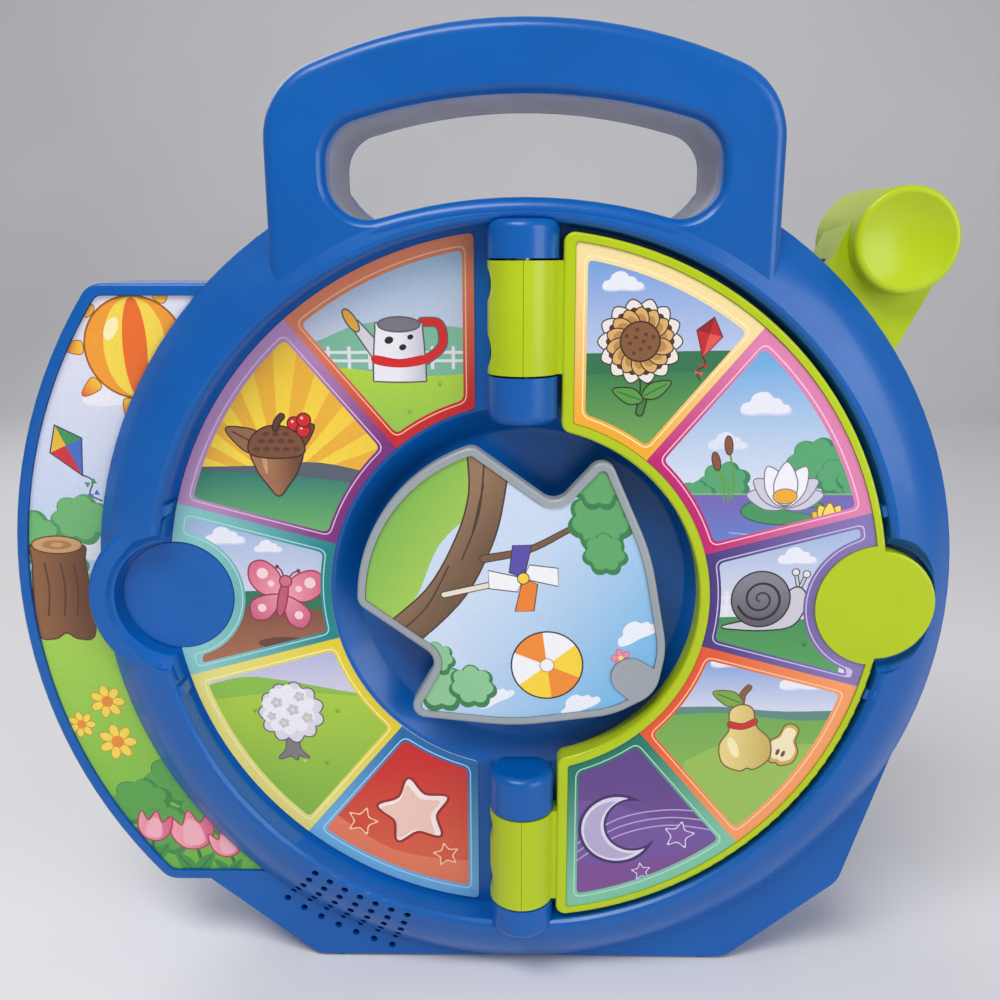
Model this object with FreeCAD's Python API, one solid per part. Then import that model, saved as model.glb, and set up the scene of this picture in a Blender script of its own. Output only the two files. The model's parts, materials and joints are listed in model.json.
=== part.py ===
import FreeCAD, Part
import math
import os

# Upright animal sound spinner toy: a round face with a turning pointer, a half page that flips like a
# book page, a pull lever at the side, a picture wing and a carry handle, in a two-part plastic case.
#
# Pieces are drawn about the hub: x to the right, y back from the face of the closed page, z up.
# save() then moves them to the part's own frame: origin on the rest surface, under the middle of the
# outline, +Z up, the face towards -Y.  Millimetres and degrees.

V = FreeCAD.Vector
BACK = V(0, 1, 0)
UP = V(0, 0, 1)
RIGHT = V(1, 0, 0)

# ---- Case: driving dimensions ----
WALL = 2.3
RING_R = 129.3
RIM_Y = 10.2
RING_BEND_R = 120.5
RING_BEND_Y = 2.3
CREST_R = 110.4
CREST_Y = -0.7
PARTING_Y = 30.6
BODY_BACK_Y = 66.0
BODY_BACK_R = 121.0
PANEL_BACK_Y = 43.0
WING_BACK_Y = 40.0
BASE_DROP = 129.7
FOOT_H = 1.2
FOOT_R = 3.5
FOOT_X = 61.0
SEAM = 0.1

# ---- Round face: the well, its floor and the dish ----
FLOOR_Y = 8.8
WELL_R = 108.3
LABEL_T = 0.4
LABEL_R_IN = 58.2
LABEL_R_OUT = 107.0
LABEL_EDGE_X = 13.9
LABEL_CORNER = 1.5
DISH_LIP_R = 57.4
DISH_R = 49.5
DISH_Y = 14.0
NUB_ANGLE = 14.8

# ---- Flip page and its hinge; the hinge and the tab sit a little below the hub ----
DROP = 1.0
PAGE_Y = 0.2
PAGE_T = 7.6
PAGE_R = 107.0
PAGE_HUB_R = 52.4
PAGE_EDGE_X = 11.0
PAGE_CORNER = 3.0
PAGE_SKIN = 1.4
PAGE_WALL = 1.8
PAGE_RECESS = 0.9
PAGE_RIM_IN = 2.9
PAGE_RIM_OUT = 2.3
PAGE_RIM_EDGE = 3.2
TAB_X = 105.0
TAB_R = 16.8
TAB_GAP = 1.6
TAB_LABEL_GAP = 1.7
PAD_Y = 8.2
KNUCKLE_R = 10.0
KNUCKLE_GAP = 0.6
BARREL_MID = 84.0
BARREL_L = 31.0
OUTER_KNUCKLE_L = 11.0
INNER_KNUCKLE_L = 13.4
PIN_R = 2.5
RUN_GAP = 0.05
SCALLOP_R = 11.0
SCALLOP_DEPTH = 1.1
SCALLOP_PITCH = 18.4
MAGNET_X = 60.0
MAGNET_Z = -62.0
MAGNET_R = 3.0

# ---- Picture wing ----
WING_R = 155.3
WING_TOP = 92.4
WING_BOTTOM = -101.7
WING_Y = 10.7
WING_CORNER = 7.0
WING_BEAD = 3.4
WING_RECESS = 1.4

# ---- Handle ----
HANDLE_W = 140.6
HANDLE_TOP = 160.5
HANDLE_CROWN_R = 151.0
HANDLE_SHOULDER = 21.0
HANDLE_FACE_Y = 0.6
HANDLE_EDGE = 3.6
GRIP_W = 107.0
GRIP_TOP = 141.6
GRIP_TOP_R = 162.0
GRIP_BOTTOM = 115.3
GRIP_BOTTOM_R = 145.0
GRIP_CORNER = 11.0
GRIP_LIP_Y = 8.5
GRIP_EDGE = 3.6
GRIP_EDGE_Y = 0.3
LINER_T = 1.5
LINER_GAP = 0.1

# ---- Base skirt: half outline from the bottom flat up to the ring ----
SKIRT_FLAT_X = 68.5
SKIRT_CORNER_X = 104.0
SKIRT_CORNER_Z = -100.6
SKIRT_SIDE_X = 118.0
SKIRT_SIDE_Z = -53.0
SKIRT_Y = 11.0
SKIRT_CORNER = 8.0

# ---- Speaker and its holes ----
SPEAKER_X = -54.0
SPEAKER_Z = -100.0
SPEAKER_R = 20.0
SPEAKER_Y = 19.0
SEAT_Y = 21.6
HOLE_R = 1.15
HOLE_ROW_R = 112.8
HOLE_ROW_STEP = 4.15
HOLE_ANGLE = -109.0
HOLE_ANGLE_STEP = 2.78
HOLE_ROWS = 6
HOLE_COLUMNS = 7

# ---- Pointer ----
POINTER_ANGLE = -36.0
POINTER_Y = 0.2
POINTER_T = 4.8
POINTER_EDGE = 1.0
POINTER_RIM = 2.4
POINTER_RECESS = 1.0
POINTER_R = 49.1
POINTER_TAIL_HALF = 29.6
POINTER_TAIL_CORNER = 4.0
POINTER_PAD_U = 40.4
POINTER_PAD_R = 5.8
POINTER_HUB_R = 9.0

# ---- Drive: shaft, pinion, sector and lever ----
SHAFT_R = 3.0
BUSH_R = 5.0
BUSH_WALL = 3.0
BUSH_Y = 12.3
GEAR_MODULE = 1.5
PINION_TEETH = 14
SECTOR_FULL_TEETH = 60
SECTOR_TEETH = 13
GEAR_T = 4.0
GEAR_BACKLASH = 0.3
PRESSURE_ANGLE = 25.0
PIVOT_ANGLE = 2.7
LEVER_TRAVEL = 55.0
CUP_X = 106.2
CUP_Z = 103.6
CUP_Y = 6.0
CUP_BACK_Y = 41.0
CUP_R = 14.7
CUP_BACK_R = 15.6
CUP_EDGE = 1.4
CUP_DISH_R = 12.9
CUP_DISH_DEPTH = 3.0
ARM_Y = 12.3
ARM_T = 5.0
ARM_W = 29.6
ARM_JOG = 32.0
NECK_R = 131.6
NECK_BACK_Y = 34.0
HUB_PLATE_T = 4.0
HUB_PLATE_R = 16.0
LEVER_HUB_R = 8.0
LEVER_PIN_R = 3.0
SLOT_GAP = 0.6
CLUTCH_R = 5.0
CLUTCH_WIRE_R = 0.4
SPRING_WIRE = 0.6
SPRING_PITCH = 1.3
SPRING_TURNS = 4

# ---- Small parts ----
SCREW_R = 1.45
SCREW_HEAD_R = 2.8
SCREW_HEAD_T = 1.8
BOARD_T = 1.6
BOARD_X0 = -95.0
BOARD_X1 = -53.0
BOARD_Z0 = 21.0
BOARD_Z1 = 63.0
MAIN_BOARD_Y = 24.0
WIRE_R = 0.7
WIRE_BEND_R = 8.0
AA_R = 7.1
AA_L = 49.2
AA_PITCH = 15.2
BAY_W = 58.0
BAY_H = 47.0
BAY_Z = -86.0
BAY_Y = 47.5
BAY_WALL = 2.0
DOOR_T = 2.2
DOOR_LAP = 4.0
DOOR_SCREW_LAP = 10.0
DOOR_GAP = 0.15
SWITCH_X = 44.0
SWITCH_Z = 62.0
SWITCH_Y = 55.0
SWITCH_TRAVEL = 6.0
SWITCH_POST = 16.0
KNOB_W = 7.0
KNOB_H = 6.0

# ---- Sizes and places that follow ----
PAGE_BACK_Y = PAGE_Y + PAGE_T
HINGE_Y = PAGE_Y + PAGE_T / 2
TAB_POCKET_R = TAB_R + TAB_GAP
REST_Z = -(BASE_DROP + FOOT_H)
FLOOR_BACK_Y = FLOOR_Y + WALL
INNER_Y = DISH_Y + WALL
HUB_PLATE_Y = ARM_Y + ARM_T
SECTOR_Y = HUB_PLATE_Y + HUB_PLATE_T
PINION_Y = SECTOR_Y + 0.3
GEAR_CENTRES = GEAR_MODULE * (PINION_TEETH + SECTOR_FULL_TEETH) / 2
PIVOT_X = GEAR_CENTRES * math.cos(math.radians(PIVOT_ANGLE))
PIVOT_Z = GEAR_CENTRES * math.sin(math.radians(PIVOT_ANGLE))
SLEEVE_Y = PINION_Y + GEAR_T
CLUTCH_Y = SLEEVE_Y + 3.6
PLATE_Y = CLUTCH_Y + 4.2
PLATE_T = 2.2
WHEEL_Y = PLATE_Y + PLATE_T + 0.7
WHEEL_T = 1.6
WHEEL_R = 14.0
BRUSH_T = 1.8
POSITION_BOARD_Y = WHEEL_Y + WHEEL_T + BRUSH_T + 0.3
POSITION_BOARD_R = 24.0
POST_CIRCLE_R = 20.0
SHAFT_Y0 = POINTER_Y + POINTER_RECESS + 1.2
HEAD_Y = PARTING_Y + 5.5
CASE_SCREW_TIP = 17.0
PIN_Z0 = BARREL_MID - BARREL_L / 2 - KNUCKLE_GAP - INNER_KNUCKLE_L + 3
PIN_Z1 = BARREL_MID + BARREL_L / 2 + OUTER_KNUCKLE_L - 2.5
LEVER_PIN_Y0 = INNER_Y - 2.0
DOOR_Y = BODY_BACK_Y - DOOR_T
BAY_Z0 = BAY_Z - BAY_H / 2
BAY_Z1 = BAY_Z + BAY_H / 2
DOOR_SCREW_Z = BAY_Z1 + 6.0
CASE_SCREWS_BODY = [(62, 98), (-62, 98), (-101, 58), (-101, -58), (84, -102), (-86, -100), (104, -56), (0, -119.5)]
CASE_SCREWS_PANEL = [(0, 152.5), (62.6, 124), (-62.6, 124), (-137, 42), (-137, -44)]
PLATE_SCREWS = [(-18.0, 14.0), (-18.0, -14.0), (66.0, -27.0), (40.0, 55.0)]
BOARD_POSTS = [(-90, 26), (-58, 26), (-90, 58), (-58, 58)]
PAGE_SCREWS = [(30, 88), (78, 56), (84, -44), (30, -90)]
SECTOR_SCREWS = [(PIVOT_X + 11.5 * math.cos(a), PIVOT_Z + 11.5 * math.sin(a)) for a in (3.2, 4.1)]
POSITION_POSTS = [(POST_CIRCLE_R * math.cos(math.radians(a)), POST_CIRCLE_R * math.sin(math.radians(a)))
                  for a in (60, 180, 300)]
CLAMP_SCREWS = [(SPEAKER_X + 25.5 * math.cos(a), SPEAKER_Z + 25.5 * math.sin(a)) for a in (0.5, 2.7)]
SPREAD_X = (WING_R - RING_R) / 2
DEPTH_Y = (HINGE_Y - KNUCKLE_R + BODY_BACK_Y) / 2


# ---- Shape helpers ----
def bar(x, z, radius, y0, y1):
    """Round bar along the depth axis."""
    return Part.makeCylinder(radius, y1 - y0, V(x, y0, z), BACK)


def tube(x, z, r_out, r_in, y0, y1):
    return bar(x, z, r_out, y0, y1).cut(bar(x, z, r_in, y0 - 1, y1 + 1))


def block(x0, x1, y0, y1, z0, z1):
    return Part.makeBox(x1 - x0, y1 - y0, z1 - z0, V(x0, y0, z0))


def post(x, y, radius, z0, z1):
    """Round bar along the vertical axis."""
    return Part.makeCylinder(radius, z1 - z0, V(x, y, z0), UP)


def rounded(corners, place):
    """Closed wire through corners (u, v, radius), each rounded by its radius; place maps (u, v) to 3-D."""
    points = [V(u, v, 0) for u, v, _ in corners]
    arcs = []
    for i, corner in enumerate(corners):
        here = points[i]
        to_last = (points[i - 1] - here).normalize()
        to_next = (points[(i + 1) % len(points)] - here).normalize()
        radius = corner[2]
        if radius <= 0:
            arcs.append((here, None, here))
            continue
        half = to_last.getAngle(to_next) / 2
        reach = radius / math.tan(half)
        middle = (to_last + to_next).normalize() * (radius / math.sin(half) - radius)
        arcs.append((here + to_last * reach, here + middle, here + to_next * reach))
    edges = []
    for i, (start, middle, end) in enumerate(arcs):
        if middle is not None:
            edges.append(Part.Arc(place(start), place(middle), place(end)).toShape())
        following = arcs[(i + 1) % len(arcs)][0]
        if (following - end).Length > 1e-4:
            edges.append(Part.makeLine(place(end), place(following)))
    return Part.Wire(edges)


def flat(corners, y):
    """Face inside a rounded (x, z, radius) outline, standing at depth y."""
    return Part.Face(rounded(corners, lambda p: V(p.x, y, p.y)))


def prism(corners, y0, y1):
    """Rounded (x, z, radius) outline, swept back from y0 to y1."""
    return flat(corners, y0).extrude(V(0, y1 - y0, 0))


def spun(corners, x=0.0, z=0.0):
    """Rounded (radius, y, corner radius) profile, spun round the depth axis through (x, z)."""
    wire = rounded(corners, lambda p: V(x + p.x, p.y, z))
    return Part.Face(wire).revolve(V(x, 0, z), BACK, 360)


def fuse(shapes):
    if len(shapes) == 1:
        return shapes[0]
    return shapes[0].multiFuse(shapes[1:]).removeSplitter()


def turned(shape, angle, x=0.0, z=0.0):
    """Copy turned about the depth axis; positive angles lift the +X side."""
    copy = shape.copy()
    copy.rotate(V(x, 0, z), V(0, -1, 0), angle)
    return copy


def moved(shape, x, y, z):
    copy = shape.copy()
    copy.translate(V(x, y, z))
    return copy


def depth_edges(shape, keep):
    """Edges that run along the depth axis and whose (x, z) passes keep."""
    found = []
    for edge in shape.Edges:
        a = edge.firstVertex().Point
        b = edge.lastVertex().Point
        along = abs(a.x - b.x) < 1e-4 and abs(a.z - b.z) < 1e-4 and abs(a.y - b.y) > 0.1
        if along and keep(a.x, a.z):
            found.append(edge)
    return found


def face_edges(shape, y, keep):
    """Edges that lie in the plane at depth y and whose middle (x, z) passes keep."""
    found = []
    for edge in shape.Edges:
        box = edge.BoundBox
        if abs(box.YMin - y) < 1e-3 and abs(box.YMax - y) < 1e-3:
            middle = edge.valueAt((edge.FirstParameter + edge.LastParameter) / 2)
            if keep(middle.x, middle.z):
                found.append(edge)
    return found


def anywhere(x, z):
    return True


def save(name, shape):
    """Move a finished piece from the hub's frame to the part's frame and write it."""
    moved(shape, SPREAD_X, -DEPTH_Y, -REST_Z).exportStep("parts/" + name + ".step")


def both_ends(near, far):
    """Heights of one span above the hinge's middle and of its twin below: (low, high, end)."""
    return [(near - DROP, far - DROP, 1), (-far - DROP, -near - DROP, -1)]


def screw(x, z, head_y, tip_y, radius=SCREW_R, head_r=SCREW_HEAD_R, head_t=SCREW_HEAD_T):
    """Pan-head screw with a cross recess; the head stands on head_y, away from the tip."""
    away = 1 if head_y > tip_y else -1
    top = head_y + away * head_t
    head = bar(x, z, head_r, min(head_y, top), max(head_y, top))
    head = head.makeFillet(head_t * 0.4, face_edges(head, top, anywhere))
    for half_x, half_z in ((head_r * 0.6, 0.3), (0.3, head_r * 0.6)):
        depth = away * head_t * 0.55
        recess = sorted((top - depth, top + depth))
        head = head.cut(block(x - half_x, x + half_x, recess[0], recess[1], z - half_z, z + half_z))
    return head.fuse(bar(x, z, radius, min(head_y, tip_y), max(head_y, tip_y)))


def coil(x, z, radius, wire_r, pitch, y0, y1):
    """Round-wire coil about a depth axis."""
    helix = Part.makeHelix(pitch, y1 - y0 - 2 * wire_r, radius)
    section = Part.Wire([Part.makeCircle(wire_r, V(radius, 0, 0), BACK)])
    body = Part.Wire(helix.Edges).makePipeShell([section], True, True)
    body.rotate(V(0, 0, 0), RIGHT, -90)
    return moved(body, x, y0 + wire_r, z)


def lead(points):
    """Round wire from point to point (x, y, z), bent to an arc at each point between."""
    corners = [V(*p) for p in points]
    start = corners[0]
    edges = []
    for last, here, following in zip(corners, corners[1:], corners[2:]):
        to_last = (last - here).normalize()
        to_next = (following - here).normalize()
        half = to_last.getAngle(to_next) / 2
        reach = WIRE_BEND_R / math.tan(half)
        middle = (to_last + to_next).normalize() * (WIRE_BEND_R / math.sin(half) - WIRE_BEND_R)
        edges.append(Part.makeLine(start, here + to_last * reach))
        edges.append(Part.Arc(here + to_last * reach, here + middle, here + to_next * reach).toShape())
        start = here + to_next * reach
    edges.append(Part.makeLine(start, corners[-1]))
    section = Part.Wire([Part.makeCircle(WIRE_R, corners[0], corners[1] - corners[0])])
    return Part.Wire(edges).makePipeShell([section], True, False)


# ---- Outlines of the case ----
def skirt_corners(inset):
    """Base outline, moved in by inset; its top runs inside the ring."""
    drop = -BASE_DROP + inset
    slope = math.atan2(SKIRT_CORNER_Z + BASE_DROP, SKIRT_CORNER_X - SKIRT_FLAT_X)
    flat_x = SKIRT_FLAT_X - inset * math.tan(slope / 2)
    side = math.atan2(SKIRT_SIDE_Z - SKIRT_CORNER_Z, SKIRT_SIDE_X - SKIRT_CORNER_X)
    reach = inset / math.cos((side - slope) / 2)
    aim = (side + slope) / 2 + math.pi / 2
    corner_x = SKIRT_CORNER_X + reach * math.cos(aim)
    corner_z = SKIRT_CORNER_Z + reach * math.sin(aim)
    radius = max(SKIRT_CORNER - inset, 1.0)
    right = [(flat_x, drop, radius), (corner_x, corner_z, radius), (SKIRT_SIDE_X - inset, SKIRT_SIDE_Z, 0)]
    left = [(-x, z, r) for x, z, r in reversed(right)]
    return right + left


def wing_slab(inset, y0, y1):
    """Wing outline, moved in by inset, from the middle of the disc out to the wing's round edge."""
    inner_x = -RING_R * 0.5
    keep = block(-WING_R - 1, inner_x, y0, y1, WING_BOTTOM + inset, WING_TOP - inset)
    slab = bar(0, 0, WING_R - inset, y0, y1).common(keep)
    corner = max(WING_CORNER - inset, 1.0)
    return slab.makeFillet(corner, depth_edges(slab, lambda x, z: x < inner_x - 10))


def handle_slab(inset, y0, y1):
    """Handle outline, moved in by inset, from inside the ring up to the crown."""
    half = HANDLE_W / 2 - inset
    keep = block(-half, half, y0, y1, WELL_R / 2, HANDLE_TOP + 1)
    crown = bar(0, HANDLE_TOP - HANDLE_CROWN_R, HANDLE_CROWN_R - inset, y0, y1)
    slab = keep.common(crown)
    return slab.makeFillet(HANDLE_SHOULDER - inset, depth_edges(slab, lambda x, z: z > RING_R))


def grip_slab(grow, y0, y1):
    """Finger opening of the handle, made wider by grow all round."""
    half = GRIP_W / 2 + grow
    keep = block(-half, half, y0, y1, GRIP_BOTTOM - 30, GRIP_TOP + 10)
    top = bar(0, GRIP_TOP - GRIP_TOP_R, GRIP_TOP_R + grow, y0, y1)
    floor = bar(0, GRIP_BOTTOM - GRIP_BOTTOM_R, GRIP_BOTTOM_R - grow, y0, y1)
    slab = keep.common(top).cut(floor)
    return slab.makeFillet(GRIP_CORNER + grow, depth_edges(slab, anywhere))


def grip_mouth():
    """Cutter for the finger opening that rounds its front edge."""
    wide = grip_slab(GRIP_EDGE + 0.3, CREST_Y - 6, GRIP_EDGE_Y)
    grip = grip_slab(0, CREST_Y - 6, GRIP_LIP_Y + 1)
    mouth = wide.fuse(grip).removeSplitter()

    def on_grip(x, z):
        return grip.distToShape(Part.Vertex(V(x, GRIP_EDGE_Y, z)))[0] < 0.01

    return mouth.makeFillet(GRIP_EDGE, face_edges(mouth, GRIP_EDGE_Y, on_grip))


def outside(shape, radius, y0, y1):
    return shape.cut(bar(0, 0, radius, y0 - 1, y1 + 1))


def half_ring(r_in, r_out, edge_x, y0, y1, corner, side=1):
    """Half of a flat ring beside the hinge, on the right (side 1) or the left (side -1)."""
    ring = tube(0, 0, r_out, r_in, y0, y1)
    keep = block(edge_x, r_out + 1, y0, y1, -r_out, r_out)
    if side < 0:
        keep = block(-r_out - 1, -edge_x, y0, y1, -r_out, r_out)
    half = ring.common(keep)
    return half.makeFillet(corner, depth_edges(half, anywhere)) if corner > 0 else half


def sheet(side, r_in, r_out, edge_x, tab_r, y0, y1, corner=LABEL_CORNER):
    """Picture sheet beside the hinge, cut round the tab."""
    half = half_ring(r_in, r_out, edge_x, y0, y1, corner, side)
    return half.cut(bar(side * TAB_X, -DROP, tab_r, y0 - 1, y1 + 1))


# ---- Front half of the case ----
def ring_solid():
    """Disc with the raised ring, the well for the page and the dish for the pointer."""
    return spun([
        (0, PARTING_Y, 0), (RING_R, PARTING_Y, 0), (RING_R, RIM_Y, 0.8),
        (RING_BEND_R, RING_BEND_Y, 28), (CREST_R, CREST_Y, 1.4), (WELL_R + 0.7, CREST_Y + 1.6, 0.8),
        (WELL_R, FLOOR_Y, 0), (DISH_LIP_R, FLOOR_Y, 1.5), (DISH_R, DISH_Y, 3.0), (0, DISH_Y, 0)])


def ring_cavity():
    return spun([
        (0, PARTING_Y + 1, 0), (RING_R - WALL, PARTING_Y + 1, 0), (RING_R - WALL, RIM_Y + 1.4, 0),
        (RING_BEND_R - 0.7, RING_BEND_Y + WALL, 20), (CREST_R + 1.4, CREST_Y + WALL, 0),
        (CREST_R, FLOOR_BACK_Y, 0), (DISH_LIP_R + 1.6, FLOOR_BACK_Y, 0), (DISH_R + 0.8, INNER_Y, 0),
        (0, INNER_Y, 0)])


def front_outer():
    """Front half as if it were solid."""
    wing = wing_slab(0, WING_Y, PARTING_Y)
    wing = wing.makeFillet(1.2, face_edges(wing, WING_Y, lambda x, z: x < -RING_R * 0.55))
    wing = outside(wing, WELL_R + 4, WING_Y, PARTING_Y)
    skirt = outside(prism(skirt_corners(0), SKIRT_Y, PARTING_Y), WELL_R + 4, SKIRT_Y, PARTING_Y)
    handle = handle_slab(0, HANDLE_FACE_Y, PARTING_Y)
    rim = face_edges(handle, HANDLE_FACE_Y, lambda x, z: z > WELL_R / 2 + 1)
    handle = outside(handle.makeFillet(HANDLE_EDGE, rim), GRIP_BOTTOM - 0.5, HANDLE_FACE_Y, PARTING_Y)
    bulge = spun([(0, 2.5, 0), (TAB_POCKET_R + 7.4, 2.5, 1.6), (TAB_POCKET_R + 7.4, PARTING_Y, 0),
                  (0, PARTING_Y, 0)], -TAB_X, -DROP)
    bulge = outside(bulge, WELL_R, 0, PARTING_Y)
    return fuse([ring_solid(), wing, skirt, bulge, handle])


def front_cavity():
    """Everything hollow behind the front: open at the parting plane."""
    top = PARTING_Y + 1
    wing = outside(wing_slab(WALL, WING_Y + WING_RECESS + WALL, top), RING_R - WALL, WING_Y, top)
    skirt = outside(prism(skirt_corners(WALL), SKIRT_Y + WALL, top), CREST_R, SKIRT_Y, top)
    handle = handle_slab(WALL, HANDLE_FACE_Y + WALL + 1.0, top)
    handle = outside(handle, CREST_R + 3, HANDLE_FACE_Y, top)
    hollow = fuse([ring_cavity(), wing, skirt, handle])
    guards = [grip_slab(LINER_T + LINER_GAP + WALL, CREST_Y - 3, top + 1)]
    for side in (-1, 1):
        guards.append(bar(side * TAB_X, -DROP, TAB_POCKET_R + WALL, CREST_Y - 3, FLOOR_BACK_Y))
    for z0, z1, _ in both_ends(BARREL_MID - BARREL_L / 2 - 3, BARREL_MID + BARREL_L / 2 + 3):
        guards.append(post(0, HINGE_Y, KNUCKLE_R + KNUCKLE_GAP + WALL, z0, z1))
    return hollow.cut(fuse(guards))


def knuckles():
    """Case knuckles: the outer one runs into the ring, the inner one ends over the dish."""
    pieces = []
    outer = both_ends(BARREL_MID + BARREL_L / 2 + KNUCKLE_GAP, BARREL_MID + BARREL_L / 2 + OUTER_KNUCKLE_L)
    inner = both_ends(BARREL_MID - BARREL_L / 2 - KNUCKLE_GAP - INNER_KNUCKLE_L,
                      BARREL_MID - BARREL_L / 2 - KNUCKLE_GAP)
    for spans, towards in ((outer, 1), (inner, -1)):
        for z0, z1, end in spans:
            body = post(0, HINGE_Y, KNUCKLE_R, z0, z1)
            tip = z1 if end * towards > 0 else z0
            rim = [e for e in body.Edges if abs(e.BoundBox.ZMin - tip) < 1e-3 and abs(e.BoundBox.ZMax - tip) < 1e-3]
            pieces.append(body.makeFillet(2.6, rim))
    return pieces


def speaker_holes():
    """Rows of round holes through the ring's slope and the skirt, in columns that point at the hub."""
    holes = []
    for column in range(HOLE_COLUMNS):
        angle = math.radians(HOLE_ANGLE - HOLE_ANGLE_STEP * column)
        for row in range(HOLE_ROWS):
            radius = HOLE_ROW_R + HOLE_ROW_STEP * row
            holes.append(bar(radius * math.cos(angle), radius * math.sin(angle), HOLE_R, CREST_Y - 2, 15.0))
    return holes


def arm_outline(width, y0, y1, root=10.0):
    """Lever arm seen from the front, from its pivot to the cup, tapering to the pivot."""
    reach = math.hypot(CUP_X - PIVOT_X, CUP_Z - PIVOT_Z)
    half = width / 2
    taper = [(0, -root, 3), (34, -half, 20), (reach, -half, 0), (reach, half, 0), (34, half, 20), (0, root, 3)]
    arm = prism(taper, y0, y1).fuse(bar(reach, 0, half, y0, y1))
    angle = math.degrees(math.atan2(CUP_Z - PIVOT_Z, CUP_X - PIVOT_X))
    return moved(turned(arm, angle), PIVOT_X, 0, PIVOT_Z)


def lever_sweep(width, y0, y1):
    """Room that the lever's arm swings through."""
    steps = 10
    arm = arm_outline(width, y0, y1)
    return fuse([turned(arm, -LEVER_TRAVEL * i / steps, PIVOT_X, PIVOT_Z) for i in range(steps + 1)])


def front_housing():
    outer = front_outer()
    shell = outer.cut(front_cavity())
    core = moved(outer, 0, 1.2, 0)
    front = CREST_Y - 5
    bosses = [bar(PIVOT_X, PIVOT_Z, LEVER_PIN_R + 3, front, HUB_PLATE_Y - 0.3)]
    bosses += [bar(x, z, 3.6, front, PLATE_Y) for x, z in PLATE_SCREWS]
    bosses += [bar(x, z, 4.0, front, PARTING_Y) for x, z in CASE_SCREWS_BODY + CASE_SCREWS_PANEL]
    bosses += [bar(x, z, 3.0, front, MAIN_BOARD_Y) for x, z in BOARD_POSTS]
    bosses += [bar(x, z, 3.0, front, SEAT_Y) for x, z in CLAMP_SCREWS]
    seat = tube(SPEAKER_X, SPEAKER_Z, SPEAKER_R + 2.4, SPEAKER_R - 2.0, FLOOR_Y + 0.8, SEAT_Y)
    bosses.append(seat.cut(bar(SPEAKER_X, SPEAKER_Z, SPEAKER_R + 0.1, SPEAKER_Y, SEAT_Y + 1)))
    extras = [fuse(bosses).common(core)] + knuckles()
    for z0, z1, _ in both_ends(BARREL_MID - BARREL_L / 2 - 3, BARREL_MID + BARREL_L / 2 + 3):
        trough = post(0, HINGE_Y, KNUCKLE_R + KNUCKLE_GAP + WALL, z0, z1)
        extras.append(trough.common(block(-30, 30, FLOOR_Y + 0.5, PARTING_Y, z0 - 1, z1 + 1)))
    extras.append(bar(0, 0, BUSH_R + BUSH_WALL, BUSH_Y, SECTOR_Y - 0.6))
    for x in (-FOOT_X, FOOT_X):
        extras.append(post(x, SKIRT_Y + FOOT_R + 1.0, FOOT_R, REST_Z, -BASE_DROP + 1))
    for angle in (NUB_ANGLE, -NUB_ANGLE - 1, 180 - NUB_ANGLE, 180 + NUB_ANGLE + 1):
        extras.append(turned(block(WELL_R - 0.7, WELL_R + 2, CREST_Y + 1.8, FLOOR_Y + 0.5, -1.6, 1.6), angle))
    shell = fuse([shell] + extras)

    slot = lever_sweep(ARM_W + 2 * SLOT_GAP, ARM_Y - SLOT_GAP, PARTING_Y + 1)
    cuts = [slot.common(tube(0, 0, RING_R + 20, RING_R - 14, ARM_Y - SLOT_GAP, PARTING_Y + 1))]
    for side in (-1, 1):
        cuts.append(spun([(0, front, 0), (TAB_POCKET_R + 3.6, front, 0), (TAB_POCKET_R + 2.9, 1.0, 0),
                          (TAB_POCKET_R + 0.8, 4.0, 0), (TAB_POCKET_R, 4.4, 0), (TAB_POCKET_R, FLOOR_Y, 0),
                          (0, FLOOR_Y, 0)], side * TAB_X, -DROP))
    for z0, z1, _ in both_ends(BARREL_MID - BARREL_L / 2 - KNUCKLE_GAP, BARREL_MID + BARREL_L / 2 + KNUCKLE_GAP):
        cuts.append(post(0, HINGE_Y, KNUCKLE_R + KNUCKLE_GAP, z0, z1))
    for z0, z1, _ in both_ends(PIN_Z0, PIN_Z1):
        cuts.append(post(0, HINGE_Y, PIN_R, z0, z1))
    cuts.append(grip_slab(LINER_T + LINER_GAP, GRIP_LIP_Y, PARTING_Y + 1))
    cuts.append(grip_mouth())
    cuts.append(bar(0, 0, BUSH_R, BUSH_Y - 1, SECTOR_Y))
    cuts.append(bar(PIVOT_X, PIVOT_Z, LEVER_PIN_R, LEVER_PIN_Y0, HUB_PLATE_Y))
    recess = outside(wing_slab(WING_BEAD, WING_Y - 1, WING_Y + WING_RECESS), RING_R, WING_Y - 1, WING_Y + 2)
    cuts.append(recess.cut(bar(-TAB_X, -DROP, TAB_POCKET_R + 7.4, WING_Y - 2, WING_Y + 3)))
    cuts += speaker_holes()
    cuts += [bar(x, z, SCREW_R, PLATE_Y - 9, PLATE_Y + 1) for x, z in PLATE_SCREWS]
    cuts += [bar(x, z, SCREW_R, CASE_SCREW_TIP, PARTING_Y + 1) for x, z in CASE_SCREWS_BODY + CASE_SCREWS_PANEL]
    cuts += [bar(x, z, SCREW_R, MAIN_BOARD_Y - 8, MAIN_BOARD_Y + 1) for x, z in BOARD_POSTS]
    cuts += [bar(x, z, SCREW_R, SEAT_Y - 7, SEAT_Y + 1) for x, z in CLAMP_SCREWS]
    shell = shell.cut(fuse(cuts))
    pads = [bar(side * TAB_X, -DROP, TAB_R, PAD_Y, FLOOR_Y + 1) for side in (-1, 1)]
    return shell.multiFuse(pads)


# ---- Back half of the case ----
def door_slab(grow, y0, y1):
    half = BAY_W / 2 + DOOR_LAP + grow
    low = BAY_Z0 - DOOR_LAP - grow
    high = BAY_Z1 + DOOR_SCREW_LAP + grow
    return prism([(-half, low, 4), (half, low, 4), (half, high, 4), (-half, high, 4)], y0, y1)


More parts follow.
